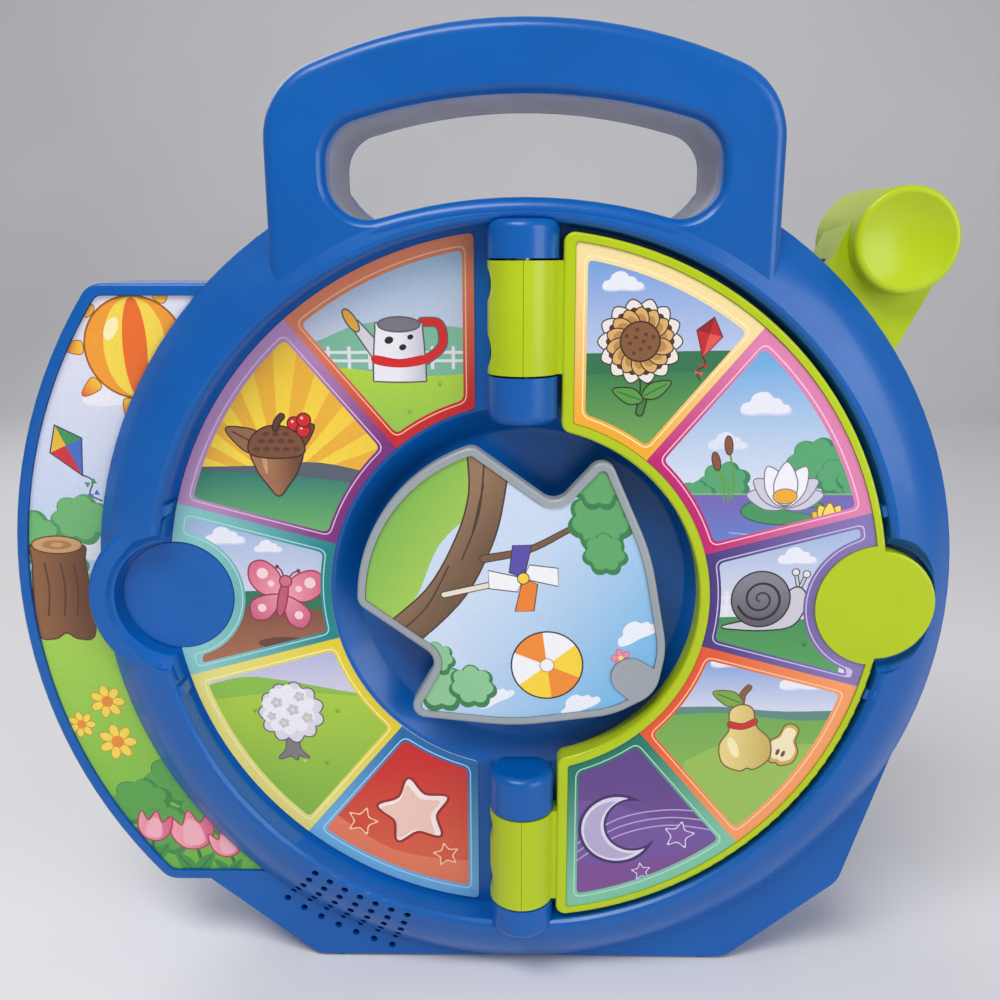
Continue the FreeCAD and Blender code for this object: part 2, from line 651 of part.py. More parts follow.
def rear_housing():
    y0 = PARTING_Y + SEAM
    body = spun([(0, y0, 0), (RING_R, y0, 0), (RING_R, BODY_BACK_Y - 20, 12), (BODY_BACK_R, BODY_BACK_Y, 8),
                 (0, BODY_BACK_Y, 0)])
    base = prism(skirt_corners(0), y0, BODY_BACK_Y)
    base = base.makeFillet(3.0, face_edges(base, BODY_BACK_Y, lambda x, z: z < SKIRT_SIDE_Z - 1))
    wing = wing_slab(0, y0, WING_BACK_Y)
    wing = wing.makeFillet(1.5, face_edges(wing, WING_BACK_Y, lambda x, z: x < -RING_R * 0.55))
    handle = handle_slab(0, y0, PANEL_BACK_Y)
    rim = face_edges(handle, PANEL_BACK_Y, lambda x, z: z > WELL_R / 2 + 1)
    handle = handle.makeFillet(HANDLE_EDGE, rim)
    outer = fuse([body, base, wing, handle])

    hollow = [spun([(0, y0 - 1, 0), (RING_R - WALL, y0 - 1, 0), (RING_R - WALL, BODY_BACK_Y - 20, 10),
                    (BODY_BACK_R - WALL, BODY_BACK_Y - WALL, 6), (0, BODY_BACK_Y - WALL, 0)])]
    hollow.append(prism(skirt_corners(WALL), y0 - 1, BODY_BACK_Y - WALL))
    inner_wing = wing_slab(WALL, y0 - 1, WING_BACK_Y - WALL)
    hollow.append(outside(inner_wing, RING_R - WALL, y0 - 1, WING_BACK_Y))
    hollow.append(handle_slab(WALL, y0 - 1, PANEL_BACK_Y - WALL))
    hollow = fuse(hollow).cut(grip_slab(LINER_T + LINER_GAP + WALL, y0 - 2, BODY_BACK_Y + 2))
    shell = outer.cut(hollow)

    bosses = [bar(x, z, 5.0, y0, BODY_BACK_Y - 1) for x, z in CASE_SCREWS_BODY]
    bosses += [bar(x, z, 4.6, y0, PANEL_BACK_Y - 0.5) for x, z in CASE_SCREWS_PANEL]
    bosses = [fuse(bosses).common(outer)]
    bosses.append(block(-BAY_W / 2 - BAY_WALL, BAY_W / 2 + BAY_WALL, BAY_Y - BAY_WALL, BODY_BACK_Y - 1,
                        BAY_Z0 - BAY_WALL, BAY_Z1 + BAY_WALL))
    bosses.append(door_slab(2.0, DOOR_Y - BAY_WALL, BODY_BACK_Y - 0.5))
    bosses.append(bar(0, DOOR_SCREW_Z, 4.0, DOOR_Y - 9, DOOR_Y))
    for x in (SWITCH_X - SWITCH_POST, SWITCH_X + SWITCH_POST):
        bosses.append(bar(x, SWITCH_Z, 3.0, SWITCH_Y - 1, BODY_BACK_Y - 1))
    for x in (-FOOT_X, FOOT_X):
        bosses.append(post(x, BODY_BACK_Y - FOOT_R - 4.0, FOOT_R, REST_Z, -BASE_DROP + 1))
    tongue = lever_sweep(ARM_W + 2 * SLOT_GAP - 0.3, HUB_PLATE_Y + SLOT_GAP, y0 + 0.6)
    bosses.append(tongue.common(tube(0, 0, RING_R, RING_R - WALL, HUB_PLATE_Y, y0 + 1)))
    shell = fuse([shell] + bosses)

    cuts = [block(-BAY_W / 2, BAY_W / 2, BAY_Y, BODY_BACK_Y + 1, BAY_Z0, BAY_Z1)]
    cuts.append(door_slab(DOOR_GAP, DOOR_Y, BODY_BACK_Y + 1))
    cuts.append(bar(0, DOOR_SCREW_Z, SCREW_R, DOOR_Y - 8, DOOR_Y + 1))
    cuts.append(grip_slab(LINER_T + LINER_GAP, y0 - 1, PANEL_BACK_Y - 1.5))
    cuts.append(grip_slab(0, y0 - 1, BODY_BACK_Y + 1))
    for x, z in CASE_SCREWS_BODY + CASE_SCREWS_PANEL:
        cuts.append(bar(x, z, SCREW_R + 0.25, y0 - 1, HEAD_Y))
        cuts.append(bar(x, z, SCREW_HEAD_R + 0.5, HEAD_Y, BODY_BACK_Y + 1))
    half = (SWITCH_TRAVEL + KNOB_W) / 2 + 0.4
    half_h = KNOB_H / 2 + 0.4
    cuts.append(block(SWITCH_X - half, SWITCH_X + half, BODY_BACK_Y - 4, BODY_BACK_Y + 1,
                      SWITCH_Z - half_h, SWITCH_Z + half_h))
    for x in (SWITCH_X - SWITCH_POST, SWITCH_X + SWITCH_POST):
        cuts.append(bar(x, SWITCH_Z, SCREW_R, SWITCH_Y - 2, SWITCH_Y + 6))
    return shell.cut(fuse(cuts))


def handle_liner(y0, y1):
    return grip_slab(LINER_T, y0, y1).cut(grip_slab(0, y0 - 1, y1 + 1))


def wing_label():
    top = WING_Y + WING_RECESS
    slab = outside(wing_slab(WING_BEAD + 0.2, top - LABEL_T, top), RING_R + 0.2, top - LABEL_T, top)
    return slab.cut(bar(-TAB_X, -DROP, TAB_POCKET_R + 7.6, top - 2, top + 1))


# ---- Page ----
def page_slab(inset, y0, y1, edge_y=None, edge=0.8):
    """Page outline with its tab, moved in by inset, with one face's edge rounded if edge_y is given."""
    corner = max(PAGE_CORNER - inset, 0.8)
    half = half_ring(PAGE_HUB_R + inset, PAGE_R - inset, PAGE_EDGE_X + inset, y0, y1, corner)
    tab = bar(TAB_X, -DROP, TAB_R - inset, y0, y1)
    if edge_y is not None:
        half = half.makeFillet(edge, face_edges(half, edge_y, anywhere))
        tab = tab.makeFillet(edge, face_edges(tab, edge_y, anywhere))
    return half.fuse(tab).removeSplitter()


def page_sheet(clear, y0, y1):
    return sheet(1, PAGE_HUB_R + PAGE_RIM_IN + clear, PAGE_R - PAGE_RIM_OUT - clear,
                 PAGE_EDGE_X + PAGE_RIM_EDGE + clear, TAB_R + TAB_LABEL_GAP + clear, y0, y1, 1.0)


def barrel_half(z0, z1, side):
    """Half of a page barrel, with the pin bore; side 1 is the page's own, -1 the clipped cap."""
    barrel = post(0, HINGE_Y, KNUCKLE_R, z0, z1).cut(post(0, HINGE_Y, PIN_R + RUN_GAP, z0 - 1, z1 + 1))
    if side > 0:
        return barrel.common(block(0, KNUCKLE_R + 1, HINGE_Y - 20, HINGE_Y + 20, z0 - 1, z1 + 1))
    cap = barrel.common(block(-KNUCKLE_R - 1, -SEAM, HINGE_Y - 20, HINGE_Y + 20, z0 - 1, z1 + 1))
    for shift in (-1, 1):
        z = (z0 + z1) / 2 + shift * SCALLOP_PITCH / 2
        cap = cap.cut(bar(-KNUCKLE_R - SCALLOP_R + SCALLOP_DEPTH, z, SCALLOP_R, HINGE_Y - 20, HINGE_Y + 20))
    return cap


def page_front_shell():
    split = HINGE_Y
    shell = page_slab(0, PAGE_Y, split, PAGE_Y)
    shell = shell.cut(page_slab(PAGE_WALL, PAGE_Y + PAGE_RECESS + PAGE_SKIN, split + 1))
    shell = shell.cut(page_sheet(0, PAGE_Y - 1, PAGE_Y + PAGE_RECESS))
    pieces = [shell]
    for z0, z1, _ in both_ends(BARREL_MID - BARREL_L / 2, BARREL_MID + BARREL_L / 2):
        pieces.append(barrel_half(z0, z1, 1))
        pieces.append(block(PIN_R + 2, PAGE_EDGE_X + 1, PAGE_Y + 0.5, split, z0, z1))
        pieces.append(block(PIN_R + 2, PAGE_EDGE_X - 0.2, split - 1, PAGE_BACK_Y - 0.5, z0, z1))
    pieces += [bar(x, z, 2.8, PAGE_Y + PAGE_RECESS + 0.5, split) for x, z in PAGE_SCREWS]
    whole = fuse(pieces)
    return whole.cut(fuse([bar(x, z, 0.9, 2.0, split + 1) for x, z in PAGE_SCREWS]))


def page_back_shell():
    split = HINGE_Y + SEAM
    back = PAGE_BACK_Y
    shell = page_slab(0, split, back, back)
    shell = shell.cut(page_slab(PAGE_WALL, split - 1, back - PAGE_RECESS - PAGE_SKIN))
    shell = shell.cut(page_sheet(0, back - PAGE_RECESS, back + 1))
    pieces = [shell] + [bar(x, z, 2.8, split, back - PAGE_RECESS - 0.5) for x, z in PAGE_SCREWS]
    pieces.append(tube(MAGNET_X, MAGNET_Z, MAGNET_R + 1.0, MAGNET_R, split, back - PAGE_RECESS - 0.5))
    cuts = [bar(x, z, 1.1, split - 1, back) for x, z in PAGE_SCREWS]
    cuts += [bar(x, z, 2.1, back - PAGE_RECESS - 1.0, back) for x, z in PAGE_SCREWS]
    return fuse(pieces).cut(fuse(cuts))


# ---- Pointer ----
def pointer_slab(inset, y0, y1):
    """Broad arrow, drawn pointing along +x, moved in by inset."""
    half = [(50.2, 0, 10.8), (43.8, 13.4, 26), (22.0, 34.0, 70), (-7.2, 50.9, 4), (-9.6, POINTER_TAIL_HALF, 5),
            (-POINTER_R - 5, POINTER_TAIL_HALF, 0)]
    outline = half + [(x, -z, r) for x, z, r in reversed(half[1:])]
    disc = Part.Face(Part.Wire([Part.makeCircle(POINTER_R, V(0, y0, 0), BACK)]))
    face = flat(outline, y0).common(disc).Faces[0]
    if inset > 0:
        face = face.makeOffset2D(-inset).Faces[0]
    slab = face.extrude(V(0, y1 - y0, 0))
    corner = max(POINTER_TAIL_CORNER - inset, 1.2)
    return slab.makeFillet(corner, depth_edges(slab, lambda x, z: x < -30 and abs(z) > 20))


def pointer_pad(grow):
    """Bare round thumb pad at the pointer's tip."""
    reach = POINTER_PAD_R + grow
    pad = bar(POINTER_PAD_U, 0, reach, POINTER_Y - 2, POINTER_Y + 3)
    flare = prism([(POINTER_PAD_U, -reach, 0), (POINTER_R + 2, -reach - 1, 0), (POINTER_R + 2, reach + 1, 0),
                   (POINTER_PAD_U, reach, 0)], POINTER_Y - 2, POINTER_Y + 3)
    return pad.fuse(flare)


def pointer_plate():
    plate = pointer_slab(0, POINTER_Y, POINTER_Y + POINTER_T)
    plate = plate.makeFillet(POINTER_EDGE, face_edges(plate, POINTER_Y, anywhere))
    recess = pointer_slab(POINTER_RIM, POINTER_Y - 1, POINTER_Y + POINTER_RECESS)
    plate = plate.cut(recess.cut(pointer_pad(0)))
    plate = fuse([plate, bar(0, 0, POINTER_HUB_R, POINTER_Y + POINTER_T - 0.5, BUSH_Y - 0.3)])
    return turned(plate.cut(bar(0, 0, SHAFT_R, SHAFT_Y0, BUSH_Y)), POINTER_ANGLE)


def pointer_label():
    top = POINTER_Y + POINTER_RECESS
    slab = pointer_slab(POINTER_RIM + 0.15, top - LABEL_T, top)
    return turned(slab.cut(pointer_pad(0.15)), POINTER_ANGLE)


# ---- Drive ----
def gear(teeth_total, teeth, bore, x, z, start_angle, y0, y1, hub_r=0.0):
    """Involute gear or sector; the first tooth is centred on start_angle, the rest follow turning up from +x."""
    pitch_r = GEAR_MODULE * teeth_total / 2
    base_r = pitch_r * math.cos(math.radians(PRESSURE_ANGLE))
    tip_r = pitch_r + 0.9 * GEAR_MODULE
    root_r = pitch_r - 1.2 * GEAR_MODULE
    half_pitch = (math.pi * GEAR_MODULE / 2 - GEAR_BACKLASH) / 2 / pitch_r
    flank = math.tan(math.radians(PRESSURE_ANGLE)) - math.radians(PRESSURE_ANGLE)

    def half_width(radius):
        """Half of a tooth's angle at this radius."""
        if radius <= base_r:
            return half_pitch + flank
        roll = math.acos(base_r / radius)
        return half_pitch + flank - (math.tan(roll) - roll)

    steps = 5
    start_r = max(base_r, root_r)
    radii = [root_r - 0.6] + [start_r + (tip_r - start_r) * i / steps for i in range(steps + 1)]
    pitch = 2 * math.pi / teeth_total
    first = math.radians(start_angle)
    tooth_list = []
    for k in range(teeth):
        centre = first + k * pitch
        side = [(r, centre - half_width(r)) for r in radii]
        side += [(r, centre + half_width(r)) for r in reversed(radii)]
        wire = Part.makePolygon([V(x + r * math.cos(a), y0, z + r * math.sin(a)) for r, a in side + side[:1]])
        tooth_list.append(Part.Face(wire).extrude(V(0, y1 - y0, 0)))
    body = bar(x, z, root_r, y0, y1)
    if teeth < teeth_total:
        low = first - pitch * 0.8
        high = first + pitch * (teeth - 0.2)
        at = [V(x + root_r * math.cos(a), y0, z + root_r * math.sin(a)) for a in (low, (low + high) / 2, high)]
        centre = V(x, y0, z)
        edges = [Part.makeLine(centre, at[0]), Part.Arc(at[0], at[1], at[2]).toShape(), Part.makeLine(at[2], centre)]
        body = fuse([Part.Face(Part.Wire(edges)).extrude(V(0, y1 - y0, 0)), bar(x, z, hub_r, y0, y1)])
    return fuse([body] + tooth_list).cut(bar(x, z, bore, y0 - 1, y1 + 1))


def drive_sector():
    start = 180 + PIVOT_ANGLE - 9.0
    y0 = SECTOR_Y
    plate = gear(SECTOR_FULL_TEETH, SECTOR_TEETH, LEVER_HUB_R, PIVOT_X, PIVOT_Z, start, y0, y0 + GEAR_T, 15.0)
    windows = []
    for i in range(2):
        window = tube(PIVOT_X, PIVOT_Z, 37.0, 20.0, y0 - 1, y0 + GEAR_T + 1)
        wedge = prism([(12, -4, 0), (45, -9, 0), (45, 9, 0), (12, 4, 0)], y0 - 2, y0 + GEAR_T + 2)
        wedge = moved(turned(wedge, start + 18 + 36 * i), PIVOT_X, 0, PIVOT_Z)
        windows.append(window.common(wedge))
    plate = plate.cut(fuse(windows))
    return plate.cut(fuse([bar(x, z, SCREW_R, y0 - 1, y0 + GEAR_T + 1) for x, z in SECTOR_SCREWS]))


def drive_pinion():
    wheel = gear(PINION_TEETH, PINION_TEETH, SHAFT_R + RUN_GAP, 0, 0, PIVOT_ANGLE, PINION_Y, SLEEVE_Y)
    return wheel.fuse(tube(0, 0, CLUTCH_R, SHAFT_R + RUN_GAP, SLEEVE_Y, CLUTCH_Y - 0.2)).removeSplitter()


def lever():
    back = ARM_Y + ARM_T
    outer = arm_outline(ARM_W, ARM_Y, back).cut(bar(PIVOT_X, PIVOT_Z, ARM_JOG, ARM_Y - 1, back + 1))
    inner = arm_outline(ARM_W - 3, HUB_PLATE_Y, SECTOR_Y)
    inner = inner.common(bar(PIVOT_X, PIVOT_Z, ARM_JOG + 10, HUB_PLATE_Y - 1, SECTOR_Y + 1))
    neck = outside(arm_outline(ARM_W, ARM_Y, NECK_BACK_Y), NECK_R, ARM_Y, NECK_BACK_Y)
    cup = spun([(0, CUP_Y, 0), (CUP_R, CUP_Y, CUP_EDGE), (CUP_BACK_R, CUP_BACK_Y, 0), (0, CUP_BACK_Y, 0)],
               CUP_X, CUP_Z)
    pieces = [outer, inner, neck, cup, bar(PIVOT_X, PIVOT_Z, HUB_PLATE_R, HUB_PLATE_Y, SECTOR_Y),
              bar(PIVOT_X, PIVOT_Z, LEVER_HUB_R, HUB_PLATE_Y, PLATE_Y - 0.3)]
    body = fuse(pieces)
    dish_r = (CUP_DISH_R ** 2 + CUP_DISH_DEPTH ** 2) / (2 * CUP_DISH_DEPTH)
    cuts = [Part.makeSphere(dish_r, V(CUP_X, CUP_Y + CUP_DISH_DEPTH - dish_r, CUP_Z))]
    cuts.append(bar(CUP_X, CUP_Z, CUP_R - 2.4, CUP_Y + CUP_DISH_DEPTH + 2.6, CUP_BACK_Y + 1))
    hollow = arm_outline(ARM_W - 5, ARM_Y + 3, NECK_BACK_Y + 1)
    cuts.append(outside(hollow, NECK_R + 2.4, ARM_Y, NECK_BACK_Y + 1))
    cuts.append(bar(PIVOT_X, PIVOT_Z, LEVER_PIN_R + RUN_GAP, HUB_PLATE_Y - 1, PLATE_Y + 1))
    cuts += [bar(x, z, SCREW_R, HUB_PLATE_Y + 0.6, SECTOR_Y + 1) for x, z in SECTOR_SCREWS]
    return body.cut(fuse(cuts))


def lever_spring():
    """Flat spiral spring round the lever's hub, with a leg that leads to a post of the case."""
    y0 = SECTOR_Y + GEAR_T + SCREW_HEAD_T + 0.5
    y1 = PLATE_Y - 0.8
    pieces = []
    radius = LEVER_HUB_R + 0.8
    for i in range(2 * SPRING_TURNS):
        side = 1 if i % 2 == 0 else -1
        centre = PIVOT_X + side * SPRING_PITCH / 4
        band = tube(centre, PIVOT_Z, radius + SPRING_WIRE / 2, radius - SPRING_WIRE / 2, y0, y1)
        low = PIVOT_Z if side > 0 else PIVOT_Z - 40
        pieces.append(band.common(block(PIVOT_X - 40, PIVOT_X + 40, y0, y1, low, low + 40)))
        radius += SPRING_PITCH / 2
    end_x = PIVOT_X - SPRING_PITCH / 4 + radius - SPRING_PITCH / 2
    foot = PLATE_SCREWS[2][1] + 3.2
    pieces.append(block(end_x - SPRING_WIRE / 2, end_x + SPRING_WIRE / 2, y0, y1, foot, PIVOT_Z))
    return fuse(pieces)


def bearing_plate():
    outline = [(-25, -21, 7), (-25, 21, 7), (33, 64, 7), (48, 61, 7), (76, -20, 7), (69, -35, 7)]
    plate = prism(outline, PLATE_Y, PLATE_Y + PLATE_T)
    back = PLATE_Y + PLATE_T
    plate = fuse([plate] + [bar(x, z, 3.0, back - 1, POSITION_BOARD_Y) for x, z in POSITION_POSTS])
    holes = [bar(x, z, SCREW_R + 0.2, PLATE_Y - 1, back + 1) for x, z in PLATE_SCREWS]
    holes += [bar(x, z, SCREW_R, PLATE_Y + 0.8, POSITION_BOARD_Y + 1) for x, z in POSITION_POSTS]
    holes.append(bar(0, 0, SHAFT_R + RUN_GAP, PLATE_Y - 1, back + 1))
    holes.append(bar(PIVOT_X, PIVOT_Z, LEVER_PIN_R, PLATE_Y - 1, back + 1))
    return plate.cut(fuse(holes))


def lever_pin():
    back = PLATE_Y + PLATE_T
    pin = bar(PIVOT_X, PIVOT_Z, LEVER_PIN_R, LEVER_PIN_Y0, back)
    return pin.fuse(bar(PIVOT_X, PIVOT_Z, LEVER_PIN_R + 1.6, back, back + 1.5))


def wiper_contacts():
    """Spring fingers on the contact wheel that brush the position board."""
    y0 = WHEEL_Y + WHEEL_T
    pieces = [tube(0, 0, 6.5, SHAFT_R + 0.2, y0, y0 + 0.3)]
    for angle in (60, 180, 300):
        finger = block(5.0, 13.0, y0, y0 + 0.3, -1.2, 1.2)
        finger = finger.fuse(block(11.6, 12.6, y0, y0 + BRUSH_T, -1.2, 1.2))
        pieces.append(turned(finger, angle))
    return fuse(pieces)


def position_board():
    y0 = POSITION_BOARD_Y
    board = tube(0, 0, POSITION_BOARD_R, 4.0, y0, y0 + BOARD_T)
    return board.cut(fuse([bar(x, z, SCREW_R + 0.2, y0 - 1, y0 + BOARD_T + 1) for x, z in POSITION_POSTS]))


def start_switch():
    """Leaf switch that the arm presses at the end of its pull."""
    case = block(92, 106, FLOOR_BACK_Y, 17.5, -20, -9.4)
    leaf = block(92, 104, 13.5, 16.0, -8.8, -8.5)
    return case.fuse(fuse([leaf, block(92, 93, 13.5, 16.0, -9.6, -8.5)]))


# ---- Sound board, speaker and power ----
def main_board():
    board = block(BOARD_X0, BOARD_X1, MAIN_BOARD_Y, MAIN_BOARD_Y + BOARD_T, BOARD_Z0, BOARD_Z1)
    holes = [bar(x, z, SCREW_R + 0.2, MAIN_BOARD_Y - 1, MAIN_BOARD_Y + BOARD_T + 1) for x, z in BOARD_POSTS]
    return board.cut(fuse(holes))


def board_parts():
    y0 = MAIN_BOARD_Y + BOARD_T
    parts = [block(-82, -70, y0, y0 + 2.2, 36, 48), block(-66, -60, y0, y0 + 1.4, 36, 46)]
    for x, z, radius, height in ((-64, 52, 2.6, 8.0), (-74, 54, 3.1, 10.0), (-84, 52, 2.0, 5.0)):
        can = bar(x, z, radius, y0, y0 + height)
        parts.append(can.makeFillet(0.5, face_edges(can, y0 + height, anywhere)))
    parts.append(block(-84, -68, y0, y0 + 5.5, 25, 30))
    return Part.makeCompound(parts)


def speaker_frame():
    y0 = SPEAKER_Y
    profile = [(18.2, y0, 0), (SPEAKER_R, y0, 0), (SPEAKER_R, y0 + 1.6, 0), (18.6, y0 + 1.6, 0),
               (12.0, y0 + 12, 0), (9.0, y0 + 12, 0), (9.0, y0 + 11.2, 0), (11.4, y0 + 11.2, 0),
               (17.6, y0 + 1.2, 0), (18.2, y0 + 1.2, 0)]
    return spun(profile, SPEAKER_X, SPEAKER_Z)


def speaker_cone():
    y0 = SPEAKER_Y
    profile = [(0, y0 + 6.2, 0), (4.0, y0 + 7.0, 0), (17.3, y0 + 0.4, 0), (18.1, y0 + 0.4, 0),
               (18.1, y0 + 0.8, 0), (17.4, y0 + 0.9, 0), (4.2, y0 + 7.6, 0), (0, y0 + 6.8, 0)]
    return spun(profile, SPEAKER_X, SPEAKER_Z)


def speaker_magnet():
    y0 = SPEAKER_Y + 12
    magnet = bar(SPEAKER_X, SPEAKER_Z, 12.0, y0 + 1.2, y0 + 7.0)
    return fuse([magnet, bar(SPEAKER_X, SPEAKER_Z, 9.0, y0, y0 + 8.2)])


def speaker_clamp():
    ring = tube(SPEAKER_X, SPEAKER_Z, SPEAKER_R + 2.0, SPEAKER_R - 1.2, SEAT_Y, SEAT_Y + 1.6)
    lip = tube(SPEAKER_X, SPEAKER_Z, SPEAKER_R - 0.1, SPEAKER_R - 1.2, SPEAKER_Y + 1.6, SEAT_Y + 1)
    ears = []
    for x, z in CLAMP_SCREWS:
        ear = bar(x, z, 3.6, SEAT_Y, SEAT_Y + 1.6)
        ears.append(ear.fuse(bar((x * 3 + SPEAKER_X) / 4, (z * 3 + SPEAKER_Z) / 4, 3.6, SEAT_Y, SEAT_Y + 1.6)))
    body = fuse([ring, lip] + ears)
    bore = [bar(SPEAKER_X, SPEAKER_Z, SPEAKER_R - 1.2, SEAT_Y - 3, SEAT_Y + 3)]
    return body.cut(fuse(bore + [bar(x, z, SCREW_R + 0.2, SEAT_Y - 1, SEAT_Y + 3) for x, z in CLAMP_SCREWS]))


def batteries():
    cells = []
    y = BAY_Y + AA_R + 0.4
    for i in range(3):
        z = BAY_Z + (i - 1) * AA_PITCH
        way = 1 if i % 2 == 0 else -1
        axis = V(way, 0, 0)
        can = Part.makeCylinder(AA_R, AA_L - 1.2, V(-way * AA_L / 2, y, z), axis)
        cells.append(can.fuse(Part.makeCylinder(2.7, AA_L - 0.6, V(-way * (AA_L / 2 - 0.6), y, z), axis)))
    return Part.makeCompound(cells)


def battery_contacts():
    plates = []
    y = BAY_Y + AA_R + 0.4
    wall = BAY_W / 2
    for i in range(3):
        z = BAY_Z + (i - 1) * AA_PITCH
        way = 1 if i % 2 == 0 else -1
        for end in (-1, 1):
            outer = sorted((end * (wall - 0.5), end * wall))
            plate = block(outer[0], outer[1], y - 5, y + 5, z - 5.5, z + 5.5)
            if end == way:
                dome = Part.makeCylinder(2.0, wall - AA_L / 2 - 0.5, V(end * AA_L / 2, y, z), V(end, 0, 0))
                plates.append(plate.fuse(dome))
                continue
            spring = coil(0, 0, 3.4, 0.35, 1.5, 0, wall - AA_L / 2 - 0.5)
            spring.rotate(V(0, 0, 0), UP, -90 * end)
            plates.append(plate)
            plates.append(moved(spring, end * AA_L / 2, y, z))
    return Part.makeCompound(plates)


def battery_door():
    door = door_slab(0, DOOR_Y, BODY_BACK_Y)
    ribs = [block(-18, 18, BODY_BACK_Y - 0.8, BODY_BACK_Y + 1, z - 0.6, z + 0.6) for z in (-104, -101, -98)]
    door = door.cut(fuse(ribs))
    door = door.cut(bar(0, DOOR_SCREW_Z, SCREW_R + 0.2, DOOR_Y - 1, BODY_BACK_Y + 1))
    return door.cut(bar(0, DOOR_SCREW_Z, SCREW_HEAD_R + 0.3, BODY_BACK_Y - 1.4, BODY_BACK_Y + 1))


def switch_body():
    base = block(SWITCH_X - 20, SWITCH_X + 20, SWITCH_Y - 2.6, SWITCH_Y - 1, SWITCH_Z - 5, SWITCH_Z + 5)
    case = block(SWITCH_X - 10, SWITCH_X + 10, SWITCH_Y - 1, SWITCH_Y + 6, SWITCH_Z - 5, SWITCH_Z + 5)
    slot = block(SWITCH_X - 4.6, SWITCH_X + 4.6, SWITCH_Y + 2, SWITCH_Y + 7, SWITCH_Z - 1.5, SWITCH_Z + 1.5)
    body = fuse([base, case]).cut(slot)
    for x in (SWITCH_X - SWITCH_POST, SWITCH_X + SWITCH_POST):
        body = body.cut(bar(x, SWITCH_Z, SCREW_R + 0.2, SWITCH_Y - 4, SWITCH_Y))
    return body


def switch_knob():
    top = BODY_BACK_Y - 0.3
    grip = block(SWITCH_X - KNOB_W / 2, SWITCH_X + KNOB_W / 2, SWITCH_Y + 6.4, top,
                 SWITCH_Z - KNOB_H / 2, SWITCH_Z + KNOB_H / 2)
    grip = grip.makeFillet(0.8, face_edges(grip, top, anywhere))
    grooves = [block(SWITCH_X + x - 0.3, SWITCH_X + x + 0.3, top - 0.6, top + 1, SWITCH_Z - 4, SWITCH_Z + 4)
               for x in (-1.8, 0, 1.8)]
    collar = block(SWITCH_X - 9, SWITCH_X + 9, SWITCH_Y + 6.4, SWITCH_Y + 8.0, SWITCH_Z - 5, SWITCH_Z + 5)
    stem = block(SWITCH_X - 1.2, SWITCH_X + 1.2, SWITCH_Y + 2.6, SWITCH_Y + 7, SWITCH_Z - 1.1, SWITCH_Z + 1.1)
    return fuse([grip, collar, stem]).cut(fuse(grooves))


def wires():
    board = MAIN_BOARD_Y + BOARD_T + 1.0
    paths = [[(-72, board, 24), (-84, 38, -10), (-72, 46, -60), (-58, 41, -90)],
             [(-64, board, 24), (-50, 40, -5), (-36, 46, -40), (-33.5, 54, -66)],
             [(-56.5, board, 34), (-44, 40, 26), (-30, 45, 14), (-16, 42.6, 7)],
             [(-58, board, 50), (-30, 44, 62), (0, 50, 64), (22, 51, 62)],
             [(-66, board, 27), (-24, 47, -30), (30, 42, -58), (58, 15, -57)]]
    return Part.makeCompound([lead(path) for path in paths])


def hinge_parts():
    barrels = both_ends(BARREL_MID - BARREL_L / 2, BARREL_MID + BARREL_L / 2)
    names = {1: "hinge_cap_upper", -1: "hinge_cap_lower"}
    for z0, z1, end in barrels:
        save(names[end], barrel_half(z0, z1, -1))
    pins = [post(0, HINGE_Y, PIN_R, z0, z1) for z0, z1, _ in both_ends(PIN_Z0, PIN_Z1)]
    save("hinge_pins", Part.makeCompound(pins))


def case_parts():
    save("front_housing", front_housing())
    save("rear_housing", rear_housing())
    save("handle_liner_front", handle_liner(GRIP_LIP_Y, PARTING_Y))
    save("handle_liner_rear", handle_liner(PARTING_Y + SEAM, PANEL_BACK_Y - 1.5))
    save("wing_label", wing_label())
    for side, name in ((-1, "left_label"), (1, "right_label")):
        tab_r = TAB_R + 0.3
        save(name, sheet(side, LABEL_R_IN, LABEL_R_OUT, LABEL_EDGE_X, tab_r, FLOOR_Y - LABEL_T, FLOOR_Y))
    places = CASE_SCREWS_BODY + CASE_SCREWS_PANEL
    save("case_screws", Part.makeCompound([screw(x, z, HEAD_Y, CASE_SCREW_TIP + 1) for x, z in places]))


def page_parts():
    save("page_front_shell", page_front_shell())
    save("page_back_shell", page_back_shell())
    front = PAGE_Y + PAGE_RECESS
    back = PAGE_BACK_Y - PAGE_RECESS
    save("page_front_label", page_sheet(0.15, front - LABEL_T, front))
    save("page_back_label", page_sheet(0.15, back, back + LABEL_T))
    heads = [screw(x, z, back - 1.0, 2.4, 0.9, 1.9, 1.0) for x, z in PAGE_SCREWS]
    save("page_screws", Part.makeCompound(heads))
    save("page_magnet", bar(MAGNET_X, MAGNET_Z, MAGNET_R, HINGE_Y + 0.4, back - PAGE_SKIN))


